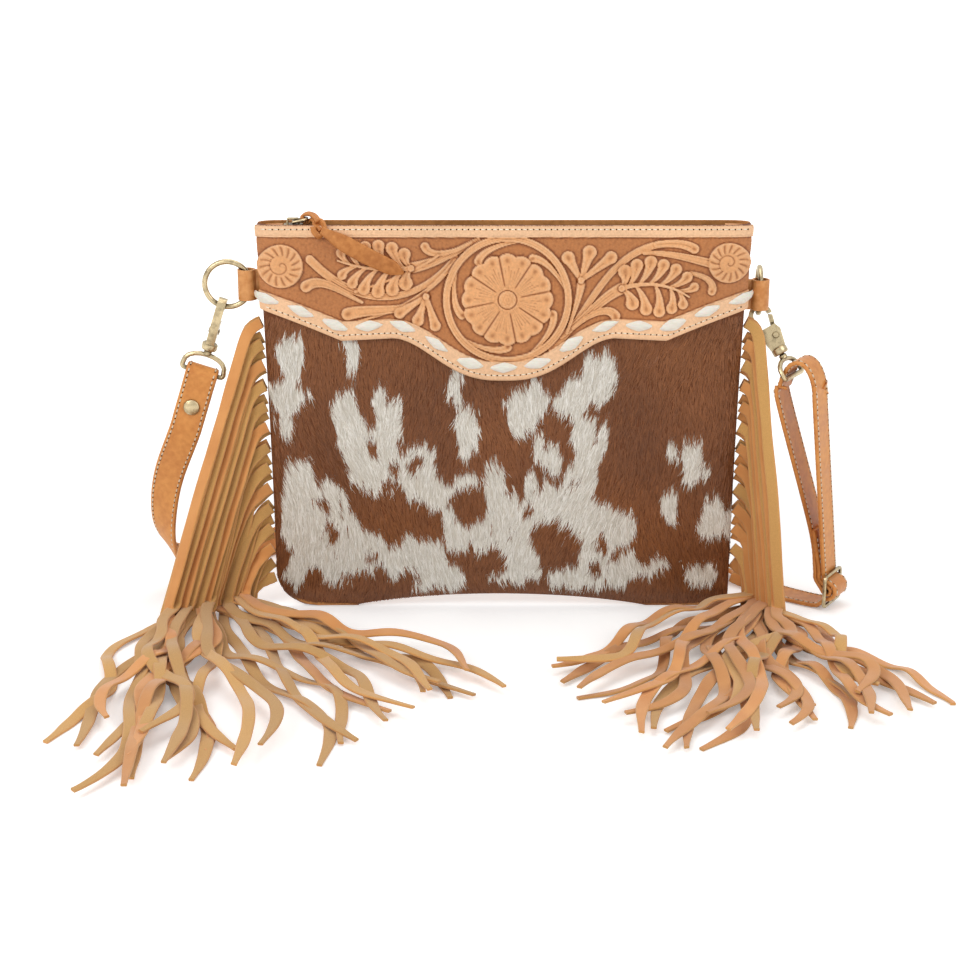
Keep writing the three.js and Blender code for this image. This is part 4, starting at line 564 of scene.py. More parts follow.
# Small side flowers: three cupped lips that spread from a berry
for heart, lips in (
    ((-45.1, 40.7), ((-60.4, 50.4, 3.4), (-49.9, 54.5, 3.6), (-39.9, 57.6, 3.4))),
    ((44.5, 31.5), ((37.0, 18.6, 4.0), (49.2, 15.4, 4.2), (61.6, 18.4, 3.8))),
):
    for x, d, size in lips:
        path = bezier(heart, np.add(heart, (x, d)) / 2, (x, d), (x, d))
        raise_shape(line_distance(path, (1.2, size)))
    for x, d, size in lips:
        cupped((x, d), (x - heart[0], d - heart[1]), size * 0.5)
        for offset in (-0.22, 0.0, 0.22):
            tip = np.array([x + offset * (d - heart[1]), d - offset * (x - heart[0])])
            middle = np.array(heart)
            cut = np.array([middle * 0.6 + tip * 0.4, middle * 0.25 + tip * 0.75])
            cut_line(line_distance(cut), 0.26, 0.28)
    berry(*heart)

swirl((-128.6, 23.5), 12.6, 1)
swirl((129.4, 21.5), 11.6, -1)

# The round vine, and the cupped leaves that turn back inside it
dx, dd = place_x - FLOWER[0], drop - FLOWER[1]
from_flower = np.hypot(dx, dd)
angle = np.arctan2(dd, dx)
raise_shape(from_flower - 37.4, GROUND)
relief[:] = np.where(from_flower < 37.2, GROUND + 0.1 * noise_at(place_x, drop, 1.6, 31), relief)
for turn in (0.25, 1.5, 2.75, 4.0, 5.2):
    spot = [(FLOWER[0] + r * math.cos(turn + a), FLOWER[1] + r * math.sin(turn + a))
            for a, r in ((0.9, 34), (0.55, 32.6), (0.22, 31.5), (0.06, 27.8))]
    scroll(*spot, 0.8, 2.5, 1)
    cupped(spot[3], np.subtract(spot[3], spot[2]), 1.2)
raise_shape(np.abs(from_flower - 35.3) - 2.1)
cut_line(np.abs(from_flower - 34.7), 0.34, 0.32)
cut_line(np.abs(from_flower - 36.0), 0.34, 0.32)

# The flower: petals with two round lips each, fluted towards a seeded centre
PETALS = 8
petal = ((angle + 0.2) / (2 * np.pi) * PETALS) % 1 - 0.5
lobe = np.abs(np.abs(petal) - 0.25)
outline = 26.6 - 30 * lobe ** 2.1
raise_shape(from_flower - outline, 0.06)
gap_width = (0.5 - np.abs(petal)) * 2 * np.pi / PETALS * from_flower
relief[:] -= 0.75 * np.exp(-(gap_width / 0.55) ** 2) * smooth(from_flower, 6, 9) * (from_flower < outline + 1)
for flute in (-0.33, -0.2, -0.08, 0.08, 0.2, 0.33):
    beside = np.abs(petal - flute) * 2 * np.pi / PETALS * from_flower
    outside = (from_flower < 6.6) | (from_flower > 19.5 - 20 * abs(abs(flute) - 0.2))
    cut_line(beside + 9 * outside, 0.34, 0.34)
lip = lobe * 2 * np.pi / PETALS * from_flower
relief[:] -= 0.5 * np.exp(-((from_flower - 22.6) / 2.3) ** 2 - (lip / 1.9) ** 2) * (from_flower < outline)
raise_shape(from_flower - 5.2, 0.25)
cut_line(np.abs(from_flower - 5.3), 0.55, 0.45)
for i in range(9):
    seed_x = FLOWER[0] + (3.3 * math.cos(i * math.tau / 8) if i < 8 else 0)
    seed_d = FLOWER[1] + (3.3 * math.sin(i * math.tau / 8) if i < 8 else 0)
    relief[:] -= 0.32 * np.exp(-((np.hypot(place_x - seed_x, drop - seed_d) - 0.95) / 0.3) ** 2)

# Plain borders: a straight band under the zip, and a wide one along the scalloped edge
edge_x = np.linspace(-143, 143, 180)
edge = line_distance(np.stack([edge_x, yoke_drop(edge_x)], axis=1))
inner_edge = edge - LOWER_BAND
raise_shape(inner_edge, 0.0)
raise_shape(drop - TOP_BAND, 0.0)
border = np.maximum(smooth(-inner_edge, -0.1, 0.3), smooth(TOP_BAND - drop, -0.1, 0.3))
for line in (inner_edge + 0.9, drop - TOP_BAND + 0.9):
    cut_line(line, 0.36, 0.36)
relief += 0.12 * np.maximum(0, 1 - np.minimum(edge, drop) / 1.6) * -4 * (np.minimum(edge, drop) < 1.6)

top_lift = YOKE_GAP + YOKE_THICKNESS
tooled_face, _ = over_hide(place_x, height_z, top_lift + relief)
low_edge, back_rows = [], []
for lift in (YOKE_GAP + 1.9, YOKE_GAP + 0.7, YOKE_GAP):
    low_edge.append(over_hide(place_x[-1], height_z[-1], np.full(len(flat_x), lift))[0])
for step in (20, 45, 75, 105, 130, 150):
    row_z, row_x = height_z[150 - step], place_x[150 - step]
    back_rows.append(over_hide(row_x, row_z, np.full(len(flat_x), YOKE_GAP))[0])
ring = np.concatenate([tooled_face, np.array(low_edge), np.array(back_rows), tooled_face[:1]])
yoke, row, column = grid_piece("yoke", ring)

# Stain: it stays dark in cuts and on the matted ground, and is wiped off what stands high, which is also
# painted paler as a painted highlight
blurred = relief.copy()
for _ in range(3):
    blurred = (blurred + np.roll(blurred, 2, 0) + np.roll(blurred, -2, 0)
               + np.roll(blurred, 3, 1) + np.roll(blurred, -3, 1)) / 5
hollow = np.clip((blurred - relief) * 1.9, 0, 1)
# Crests that stand above their surroundings: paler, partly stain wiped off and partly a painted highlight
wiped_crest_and_highlight = np.clip((relief - blurred) * 1.4, 0, 1)
ground = (1 - smooth(relief, GROUND + 0.1, -0.25)) * (1 - border)
petal_tone, cut_tone = pigment("#e2a36c"), pigment("#7d4119")
color = petal_tone + (pigment("#eec096") - petal_tone) * border[..., None]
# Painted highlight on the crests, mixed with the wiped-off stain
color = color + (pigment("#f3c79c") - color) * wiped_crest_and_highlight[..., None] * 0.8
color = color + (pigment("#b06c38") - color) * ground[..., None] * 0.85
color = color + (cut_tone - color) * np.clip(hollow, 0, 0.9)[..., None]
uneven = 0.5 + 0.5 * noise_at(place_x, drop, 38, 33)
color = color * (0.93 + 0.1 * uneven)[..., None]
full = np.concatenate([color, np.tile(cut_tone, (len(ring) - len(color), len(flat_x), 1))])
paint(yoke, "stain_and_highlight", full[row, column])
close_tube(yoke)
shade(yoke, 75)

# Vegetable-tanned cowhide: close smooth grain, waxed, with the stain and the painted highlight on its crests
# painted on
tooled, add = new_material("tooled vegetable-tanned leather", Specular_IOR_Level=0.4)
place = add("ShaderNodeTexCoord").outputs["Object"]
stain_and_highlight = add("ShaderNodeVertexColor", layer_name="stain_and_highlight").outputs["Color"]
fibre = add("ShaderNodeTexNoise", {"Vector": place, "Scale": 1000 / 1.4, "Detail": 5.0})
speck = add("ShaderNodeMapRange", {"Value": fibre.outputs["Fac"], "From Min": 0.35, "From Max": 0.65,
                                   "To Min": 0.9, "To Max": 1.06})
shown = add("ShaderNodeVectorMath", {0: stain_and_highlight, "Scale": speck.outputs["Result"]}, operation="SCALE")
pores = add("ShaderNodeBump", {"Height": fibre.outputs["Fac"], "Strength": 0.2, "Distance": 0.0003})
add("shader", {"Base Color": shown.outputs["Vector"], "Roughness": 0.46, "Normal": pores.outputs["Normal"]})
finish_piece(yoke, tooled, replaces=("yoke",))


# Rawhide lace and stitching of the yoke
# White rawhide 5 mm wide runs in and out of slits along the lower border, and shows as long diamonds.
# Linen thread holds the edges, in stitches 3.4 mm long, with the needle holes between them drawn as dark
# spots of painted shade.

LACE_STITCHES = 15
LACE_PITCH = 19.6
LACE_MARGIN = 8.0
STITCH_LENGTH = 3.4


def along_edge(x, margin):
    """Places on the yoke at a drop that is margin short of its lower edge, and the way along it."""
    slope = (yoke_drop(x + 0.5) - yoke_drop(x - 0.5))
    way = np.stack([np.ones_like(slope), slope], axis=-1)
    way = way / np.linalg.norm(way, axis=-1, keepdims=True)
    return yoke_drop(x) - margin * np.sqrt(1 + slope ** 2), way


def join_pieces(name, pieces):
    bpy.ops.object.select_all(action="DESELECT")
    for piece in pieces:
        piece.select_set(True)
    bpy.context.view_layer.objects.active = pieces[0]
    bpy.ops.object.join()
    joined = bpy.context.object
    joined.name = joined.data.name = name
    return joined


diamonds = []
for i in range(LACE_STITCHES):
    middle = np.array([(i - LACE_STITCHES // 2) * LACE_PITCH])
    at_drop, way = along_edge(middle, LACE_MARGIN)
    s, w = np.meshgrid(np.linspace(-1, 1, 13), np.linspace(-1, 1, 7))
    half = 2.9 * (1 - np.abs(s) ** 1.3 * 0.86) * (1 + 0.06 * math.sin(i * 2.3))
    lean = 0.9 * math.sin(i * 1.7)
    x = middle[0] + 7.3 * s * way[0, 0] - w * half * way[0, 1] + lean * w * 0.8
    d = at_drop[0] + 7.3 * s * way[0, 1] + w * half * way[0, 0]
    lift = top_lift + 0.15 + 0.75 * (1 - w ** 2) * (1 - s ** 6) - 0.7 * (np.abs(s) > 0.95)
    diamonds.append(grid_piece("diamond", over_hide(x, BAG_HEIGHT - d, lift)[0])[0])
lace = join_pieces("rawhide_lace", diamonds)
apply_modifier(lace, "SOLIDIFY", thickness=0.0006, offset=-1)
shade(lace, 60)

# Rawhide: undyed, hard and a little see-through, with faint fibres along the lace
rawhide, add = new_material("rawhide", Roughness=0.5, Subsurface_Weight=0.15, Subsurface_Scale=0.002)
place = add("ShaderNodeTexCoord").outputs["Object"]
stretched = add("ShaderNodeMapping", {"Vector": place, "Scale": (0.35, 1.0, 1.6)})
fibre = add("ShaderNodeTexNoise", {"Vector": stretched.outputs["Vector"], "Scale": 1000 / 1.2, "Detail": 4.0})
tint = add("ShaderNodeMix", {"Factor": fibre.outputs["Fac"], 6: linear("#d8cfbf"), 7: linear("#f4eee4")},
           data_type="RGBA")
relief_node = add("ShaderNodeBump", {"Height": fibre.outputs["Fac"], "Strength": 0.35, "Distance": 0.0003})
add("shader", {"Base Color": tint.outputs[2], "Normal": relief_node.outputs["Normal"]})
finish_piece(lace, rawhide, replaces=("yoke_lace",))


def take_shape(piece):
    """The points and faces of a small piece, which is then removed."""
    shape = np.array([v.co[:] for v in piece.data.vertices])
    faces = [tuple(p.vertices) for p in piece.data.polygons]
    bpy.data.objects.remove(piece)
    return shape, faces


def repeated_shape(name, spots, faces):
    """One piece of many like shapes: spots holds the points of each, in millimetres."""
    spots = np.asarray(spots)
    size = spots.shape[1]
    index = [tuple(i + k * size for i in face) for k in range(len(spots)) for face in faces]
    mesh = bpy.data.meshes.new(name)
    mesh.from_pydata((spots.reshape(-1, 3) * 0.001).tolist(), [], index)
    piece = bpy.data.objects.new(name, mesh)
    bpy.context.scene.collection.objects.link(piece)
    return piece


def sewing(name, places, ways, outs, stitch_length, thread_radius, material, body):
    """Stitches as short fat beads of thread, with a small dark spot of painted shade for the needle hole
    between each two.
    """
    bpy.ops.object.select_all(action="DESELECT")
    bpy.ops.mesh.primitive_uv_sphere_add(segments=8, ring_count=6, radius=1)
    shape, faces = take_shape(bpy.context.object)
    sides = np.cross(outs, ways)

    def spread(offset, along, across, out):
        centre = places + ways * offset
        return centre[:, None] + (ways[:, None] * (shape[:, 0] * along)[None, :, None]
                                  + sides[:, None] * (shape[:, 1] * across)[None, :, None]
                                  + outs[:, None] * (shape[:, 2] * out)[None, :, None])

    made = []
    for suffix, spots, stuff in (
        ("", spread(0, stitch_length * 0.4, thread_radius, thread_radius), material),
        # Dark spots of painted shade where the needle holes are
        ("_holes", spread(stitch_length / 2, 0.42, 0.5, 0.16), needle_hole_shade),
    ):
        piece = repeated_shape(name + suffix, spots, faces)
        for polygon in piece.data.polygons:
            polygon.use_smooth = True
        finish_piece(piece, stuff, body)
        made.append(piece)
    return made


# Waxed linen thread, twisted: drawn as fine slanting ridges
thread, add = new_material("waxed linen thread", Roughness=0.6)
place = add("ShaderNodeTexCoord").outputs["Object"]
twist = add("ShaderNodeTexWave", {"Vector": place, "Scale": 1000 / 0.9 / 6.28}, bands_direction="DIAGONAL")
tint = add("ShaderNodeMix", {"Factor": twist.outputs["Fac"], 6: linear("#d9c7ab"), 7: linear("#f3e8d4")},
           data_type="RGBA")
add("shader", {"Base Color": tint.outputs[2]})
# Needle holes: flat dark spots that paint the shade inside each hole, varied by noise
needle_hole_shade, add = new_material("needle hole, painted shade", Roughness=0.95, Specular_IOR_Level=0.05)
place = add("ShaderNodeTexCoord").outputs["Object"]
hole_shade_noise = add("ShaderNodeTexNoise", {"Vector": place, "Scale": 1000 / 0.7})
shadow = add("ShaderNodeMix", {"Factor": hole_shade_noise.outputs["Fac"], 6: linear("#2c170a"), 7: linear("#5a3115")},
             data_type="RGBA")
add("shader", {"Base Color": shadow.outputs[2]})


def yoke_sewing(name, x, drops, lift):
    places, outs = over_hide(x, BAG_HEIGHT - drops, np.full(len(x), lift))
    ways = unit(np.gradient(places, axis=0))
    return sewing(name, places, ways, outs, STITCH_LENGTH, 0.36, thread, "bag")


def even_steps(x, y, step):
    """Evenly spaced x along a drawn line."""
    length = np.concatenate([[0], np.cumsum(np.hypot(np.diff(x), np.diff(y)))])
    return np.interp(np.arange(step / 2, length[-1], step), length, x)


TOP_STITCH_DROP = 2.2
EDGE_STITCH_MARGIN = 3.2
fine_x = np.linspace(-139.5, 139.5, 2000)
x = even_steps(fine_x, fine_x * 0, STITCH_LENGTH)
yoke_sewing("top_stitching", x, np.full(len(x), TOP_STITCH_DROP), top_lift + 0.02)
fine_x = np.linspace(-137.5, 137.5, 2000)
x = even_steps(fine_x, along_edge(fine_x, EDGE_STITCH_MARGIN)[0], STITCH_LENGTH)
yoke_sewing("edge_stitching", x, along_edge(x, EDGE_STITCH_MARGIN)[0], top_lift + 0.02)


# Zip
# A moulded zip: dark woven tapes with a row of small teeth on each, 2.5 mm apart, that mesh in the middle.
# Its slider runs on the teeth, and the brass bail on it carries a strip of leather tied in a knot.

ZIP_Z = 235.0
ZIP_END = 127.0
TOOTH_PITCH = 2.5
TOOTH_SIZE = (1.15, 3.4, 1.9)


def tube_points(path, widths, section, scales=None):
    """Rings of a section, in millimetres, swept along a path with its width direction at each point."""
    path, widths = np.asarray(path, float), np.asarray(widths, float)
    tangent = unit(np.gradient(path, axis=0))
    across = unit(widths - tangent * np.sum(widths * tangent, axis=-1, keepdims=True))
    through = np.cross(tangent, across)
    scale = np.ones((len(path), 2)) if scales is None else np.asarray(scales, float)
    return (path[:, None] + across[:, None] * (section[:, 0] * scale[:, :1])[..., None]
            + through[:, None] * (section[:, 1] * scale[:, 1:])[..., None])


def ribbon_section(width, thickness, steps=6):
    """A flat section with rounded edges, closed on itself."""
    w, t = width / 2 - thickness / 2, thickness / 2
    x = np.linspace(-w, w, steps)
    end = [(w + t * math.cos(a), t * math.sin(a)) for a in (-1.05, -0.5, 0, 0.5, 1.05)]
    back = [(-px, -pz) for px, pz in end]
    return np.array([(v, -t) for v in x] + end + [(v, t) for v in x[::-1]] + back + [(x[0], -t)])


def smooth_path(points, count):
    """A curve through given points: Catmull-Rom, evenly divided between them."""
    points = np.asarray(points, float)
    last = len(points) - 1
    out = []
    for u in np.linspace(0, last, count):
        i = min(int(u), last - 1)
        s = u - i
        a, b, c, d = (points[min(max(j, 0), last)] for j in (i - 1, i, i + 1, i + 2))
        out.append(0.5 * ((2 * b) + (c - a) * s + (2 * a - 5 * b + 4 * c - d) * s * s
                          + (3 * b - a - 3 * c + d) * s ** 3))
    return np.array(out)


# Black nylon tape, woven finely, and glossy moulded teeth
zip_cloth, add = new_material("black nylon zip tape", Roughness=0.7)
place = add("ShaderNodeTexCoord").outputs["Object"]
weave = add("ShaderNodeTexWave", {"Vector": place, "Scale": 1000 / 0.7 / 6.28, "Distortion": 0.6})
tint = add("ShaderNodeMix", {"Factor": weave.outputs["Fac"], 6: linear("#14110f"), 7: linear("#2e2926")},
           data_type="RGBA")
ribs = add("ShaderNodeBump", {"Height": weave.outputs["Fac"], "Strength": 0.3, "Distance": 0.0002})
add("shader", {"Base Color": tint.outputs[2], "Normal": ribs.outputs["Normal"]})
zip_nylon, add = new_material("moulded nylon teeth", Roughness=0.32)
place = add("ShaderNodeTexCoord").outputs["Object"]
wear = add("ShaderNodeTexNoise", {"Vector": place, "Scale": 1000 / 2.0})
tint = add("ShaderNodeMix", {"Factor": wear.outputs["Fac"], 6: linear("#16120f"), 7: linear("#3a332d")},
           data_type="RGBA")
add("shader", {"Base Color": tint.outputs[2]})

tapes, teeth = [], []
for facing in (-1, 1):
    x = np.linspace(-135.5, 135.5, 90)
    outer = 1.2 + 4.6 * smooth(134 - np.abs(x), -2, 10)
    top = np.stack([x, facing * outer, ZIP_Z + 0.45 + 0.1 * np.sin(x * 1.3)], axis=1)
    inner = [np.stack([x, np.full(90, facing * y), np.full(90, ZIP_Z + z)], axis=1)
             for y, z in ((2.2, 0.5), (0.75, 0.5), (0.75, -0.5))]
    rows = [top + (0, 0, 0.05), *inner, top - (0, 0, 1.0), top + (0, 0, 0.05)]
    tapes.append(grid_piece("tape", np.array(rows), wrap=True)[0])
    for tooth_x in np.arange(-ZIP_END, ZIP_END, TOOTH_PITCH):
        teeth.append((tooth_x + (0 if facing < 0 else TOOTH_PITCH / 2), facing))
bpy.ops.object.select_all(action="DESELECT")
bpy.ops.mesh.primitive_cube_add(size=1)
apply_modifier(bpy.context.object, "BEVEL", width=0.16, segments=2)
shape, faces = take_shape(bpy.context.object)
spots = [shape * TOOTH_SIZE + (x, facing * 1.35, ZIP_Z + 0.1) for x, facing in teeth]
zip_teeth = repeated_shape("zip_teeth", spots, faces)
shade(zip_teeth, 50)
finish_piece(zip_teeth, zip_nylon)
for tape, side in zip(tapes, ("front", "back")):
    tape.name = tape.data.name = f"zip_tape_{side}_cloth"
    shade(tape, 50)
    finish_piece(tape, zip_cloth, replaces=(f"zip_tape_{side}",))


# Tabs of leather over the zip's ends
strap_hide = leather("waxed saddle leather", "#dd9750", "#c98040", 1.4, 0.42, 0.22)
tab_hide = leather("natural tab leather", "#dfa164", "#c47f42", 1.3, 0.45, 0.22)


def rounded_copy(node, name, bevel_mm, material, body, degrees=40, segments=3):
    """A copy of a CAD node with its facets merged, its edges rounded off and its curves smooth."""
    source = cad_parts[node]
    copy = source.copy()
    copy.data = source.data.copy()
    copy.name = copy.data.name = name
    bpy.context.scene.collection.objects.link(copy)
    bpy.ops.object.select_all(action="DESELECT")
    bpy.context.view_layer.objects.active = copy
    copy.select_set(True)
    copy.parent = None
    copy.matrix_world = source.matrix_world
    bpy.ops.object.transform_apply(location=True, rotation=True, scale=True)
    bpy.ops.object.mode_set(mode="EDIT")
    bpy.ops.mesh.select_all(action="SELECT")
    bpy.ops.mesh.remove_doubles(threshold=2e-6)
    bpy.ops.mesh.dissolve_limited(angle_limit=math.radians(2))
    bpy.ops.object.mode_set(mode="OBJECT")
    apply_modifier(copy, "BEVEL", width=bevel_mm * 0.001, segments=segments, limit_method="ANGLE",
                   angle_limit=math.radians(35), use_clamp_overlap=True)
    shade(copy, degrees)
    finish_piece(copy, material, body, replaces=(node,))
    return copy


for side in ("left", "right"):
    rounded_copy(f"zip_end_{side}", f"zip_end_cover_{side}", 0.35, tab_hide, "bag")

# Antique brass: polished on what stands out, with brown patina left in the hollows and fine scratches
antique_brass, add = new_material("antique brass, burnished", Metallic=1.0, Roughness=0.3)
place = add("ShaderNodeTexCoord").outputs["Object"]
hollow = add("ShaderNodeAmbientOcclusion", {"Distance": 0.0035}, samples=8)
blotch = add("ShaderNodeTexNoise", {"Vector": place, "Scale": 1000 / 4.0, "Detail": 4.0})
patina = add("ShaderNodeMath", {0: hollow.outputs["AO"], 1: 1.6}, operation="POWER")
mixed = add("ShaderNodeMath", {0: patina.outputs["Value"], 1: blotch.outputs["Fac"]}, operation="MULTIPLY")
share = add("ShaderNodeMapRange", {"Value": mixed.outputs["Value"], "From Min": 0.08, "From Max": 0.5})
tint = add("ShaderNodeMix", {"Factor": share.outputs["Result"], 6: linear("#4a3d2a"), 7: linear("#c2b08c")},
           data_type="RGBA")
scratch = add("ShaderNodeTexNoise", {"Vector": place, "Scale": 1000 / 0.8, "Detail": 3.0})
gloss = add("ShaderNodeMapRange", {"Value": scratch.outputs["Fac"], "From Min": 0.3, "From Max": 0.7,
                                   "To Min": 0.24, "To Max": 0.42})
fine = add("ShaderNodeBump", {"Height": scratch.outputs["Fac"], "Strength": 0.08, "Distance": 0.0002})
add("shader", {"Base Color": tint.outputs[2], "Roughness": gloss.outputs["Result"],
               "Normal": fine.outputs["Normal"]})
rounded_copy("zip_slider", "zip_slider_brass", 0.3, antique_brass, "slider")
rounded_copy("zip_bail", "zip_bail_brass", 0.25, antique_brass, "bail", 60)


# Leather pull of the zip
# One strip of soft oiled leather 10 mm wide: folded through the bail, crossed over itself in a knot,
# and left hanging flat over the front with its end cut on the slant.

SLIDER_X = -122.2
BAIL_END = np.array([SLIDER_X + 8.0, 0.0, 240.2])
PULL_ANGLE = 28
TAIL_LENGTH = 53


def strand_piece(name, path, widths, width, thickness, scales=None, steps=6):
    rings = tube_points(path, widths, ribbon_section(width, thickness, steps), scales)
    return grid_piece(name, rings, wrap=True)[0]


ex, _, ez = BAIL_END
loop = smooth_path([(ex - 2.4, -1.2, ez - 0.6), (ex - 2.1, 0.2, ez + 1.6), (ex + 0.4, 0.9, ez + 2.7),
                    (ex + 3.2, 0.2, ez + 2.2), (ex + 5.6, -3.2, ez + 1.0), (ex + 7.6, -8.2, ez - 1.6)], 40)
under = smooth_path([(ex - 2.3, 1.4, ez - 0.8), (ex + 0.6, 1.0, ez - 2.0), (ex + 3.4, -0.8, ez + 0.1),
                     (ex + 5.2, -4.2, ez - 0.2), (ex + 6.2, -9.2, ez - 1.4), (ex + 9.4, -12.2, ez - 4.6)], 40)
cross = smooth_path([(ex + 4.6, -13.2, ez - 2.2), (ex + 5.4, -13.6, ez - 5.4), (ex + 8.2, -14.6, ez - 7.4),
                     (ex + 10.8, -14.2, ez - 5.2), (ex + 10.6, -11.8, ez - 1.8), (ex + 8.2, -9.6, ez + 0.4),
                     (ex + 5.4, -10.6, ez - 0.2)], 40)
slope = math.radians(PULL_ANGLE)
tail_way = np.array([math.cos(slope), 0, -math.sin(slope)])
tail_rise = np.array([math.sin(slope), 0, math.cos(slope)])
start = np.array([ex + 9.6, 0.0, ez - 3.6])
tail, tail_widths, tail_scales = [], [], []
for u in np.linspace(0, 1, 40):
    spot = start + tail_way * (u * TAIL_LENGTH)
    lie, _ = over_hide(np.array([spot[0]]), np.array([min(spot[2], 236.0)]), np.array([5.4]))
    lift = 2.2 * math.exp(-u * 5) + 0.9 * math.sin(math.pi * u) ** 2 + 0.6
    drop_z = 1.2 * math.sin(math.pi * u)
    tail.append((spot[0], lie[0, 1] - lift, spot[2] - drop_z))
    tail_widths.append(tail_rise * (0.75 + 0.25 * u) + np.array([0.0, 0.5 * math.cos(u * 2.6), 0.0]))
    wide = 0.5 + 0.5 * smooth(u, 0.0, 0.28)
    tail_scales.append((wide * (1 - 0.9 * max(0, (u - 0.86) / 0.14) ** 1.3), 1.0))
pieces = [
    strand_piece("loop", loop, np.tile((0.25, 1.0, 0.2), (40, 1)), 4.6, 1.9),
    strand_piece("under", under, np.tile((0.3, 0.9, 0.5), (40, 1)), 4.6, 1.9),
    strand_piece("cross", cross, np.tile((0.5, -0.6, 0.6), (40, 1)), 4.4, 1.8),
    strand_piece("tail", np.array(tail), np.array(tail_widths), 9.8, 1.9, tail_scales, 9),
]
pull = join_pieces("zip_pull_leather", pieces)
shade(pull, 55)
pull_hide = leather("oiled pull leather", "#c98446", "#a8652d", 1.2, 0.5, 0.2)
finish_piece(pull, pull_hide, "pull", replaces=("zip_pull",))


# Rings, hooks and leather tabs
# A folded leather tab on each side holds a cast antique brass ring. A swivel snap hook hangs on the ring:
# cast body, sprung gate on a pin, and a turning eye for the strap's bar.

for side in ("left", "right"):
    rounded_copy(f"tab_{side}", f"tab_{side}_leather", 0.5, tab_hide, "bag", 50, 3)
for side, centre, turned in (("left", (-0.161602, 0, 0.2015), 0.0),
                             ("right", (0.151088, 0.011274, 0.1955), 86.0)):
    bpy.ops.object.select_all(action="DESELECT")
    bpy.ops.mesh.primitive_torus_add(location=centre, rotation=(math.pi / 2, 0, math.radians(turned)),
                                     major_segments=96, minor_segments=20, major_radius=0.0134,
                                     minor_radius=0.00165)
    ring = bpy.context.object
    bpy.ops.object.transform_apply(location=True, rotation=True, scale=True)
    ring.name = ring.data.name = f"ring_{side}_brass"
    shade(ring, 80)
    finish_piece(ring, antique_brass, f"ring_{side}", replaces=(f"ring_{side}",))
    for part, body in (("hook", "ring"), ("gate", "gate"), ("eye", "eye")):
        rounded_copy(f"{part}_{side}", f"{part}_{side}_brass", 0.3, antique_brass,
                     f"{body}_{side}", 60)
    for part in ("gate_pin", "gate_spring"):
        dress(f"{part}_{side}", antique_brass)


# Strap
# One long strip of bridle leather, 19 mm wide, sewn in white along both sides. Its left end is turned
# round the eye and held by a rivet; its right end runs up to the other eye and back to a slide buckle.

STRAP_WIDTH = 19.0
STRAP_THICKNESS = 2.4
STRAP_STEP = 2.6
LEFT_BAR = np.array([-178.876, 0.0, 148.336])
LEFT_WAY = np.array([-0.309, 0.0, -0.951])
LOOP_NORMAL = np.array([0.848, -0.53, 0.0])
LOOP_WIDTH_WAY = np.array([0.53, 0.848, 0.0])
BUCKLE_CENTRE = np.array([202.0, -2.0, 0.0])
BUCKLE_Z = 12.7
RIGHT_BAR = np.array([171.465, -5.814, 147.952])

left_rows = [(-1.35, 38), (-1.35, 13), (-2.4, 6)]
left_rows += [(3.3 * math.cos(a), 3.3 * math.sin(a)) for a in np.linspace(math.pi, 2 * math.pi, 7)]
left_rows += [(2.4, 6), (1.35, 13), (1.35, 26), (1.35, 38)]
left_path = [LEFT_BAR + LEFT_WAY * down + np.array([0, -front, 0]) for front, down in left_rows]
left_across = [np.cross(LEFT_WAY, (0, 1.0, 0))] * len(left_path)
floor_route = ((-202, 5, 84, 0.9, -0.2, -0.3), (-207, 9, 62, 0.85, -0.4, -0.3),
               (-208, 15, 42, 0.7, -0.5, -0.5),
               (-204, 26, 25, 0.5, -0.4, -0.8), (-194, 42, 13.5, 0.2, -0.2, -1), (-176, 62, 9.9, 0, 0, -1),
               (-150, 88, 9.9, 0, 0, -1), (-126, 122, 9.9, 0, 0, -1), (-108, 162, 9.9, 0, 0, -1),
               (-84, 206, 9.9, 0, 0, -1), (-48, 242, 9.9, 0, 0, -1), (0, 260.8, 9.9, 0, 0, -1),
               (48, 244, 9.9, 0, 0, -1), (84, 208, 9.9, 0, 0, -1), (102, 162, 9.9, 0, 0, -1),
               (106, 122, 9.9, 0, 0, -1), (114, 86, 9.9, 0.1, 0.1, -1), (130, 60, 9.2, 0.35, 0.4, -0.7),
               (152, 38, 5, 0.5, 0.75, -0.3), (172, 19.5, 1.6, 0.53, 0.848, 0))
route = np.array(floor_route, float)

# The loop to the right eye, as distance out from the buckle and height
ply, m = 2.7, BUCKLE_Z
crown_wide, crown_tall = 11.8, 24.7
bar_out = float((RIGHT_BAR - BUCKLE_CENTRE) @ LOOP_NORMAL)
top_shift = float((RIGHT_BAR - BUCKLE_CENTRE) @ LOOP_WIDTH_WAY)
turn = math.radians(40)
inward = unit(np.array([math.cos(turn) / crown_wide, -math.sin(turn) / crown_tall]))
crown_out = bar_out - 3.45 * inward[0] + crown_wide * math.cos(turn)
crown_z = RIGHT_BAR[2] - 3.45 * inward[1] - crown_tall * math.sin(turn)
tail_out = -5.6
high_out = tail_out + (crown_out - crown_wide + ply - tail_out) * ((50 - m - 13) / (crown_z - m - 13))


def turned_round(out, z, wide, tall, degrees):
    """Points round part of an oval, where the strap turns round a bar."""
    return [(out + wide * math.cos(math.radians(a)), z + tall * math.sin(math.radians(a))) for a in degrees]


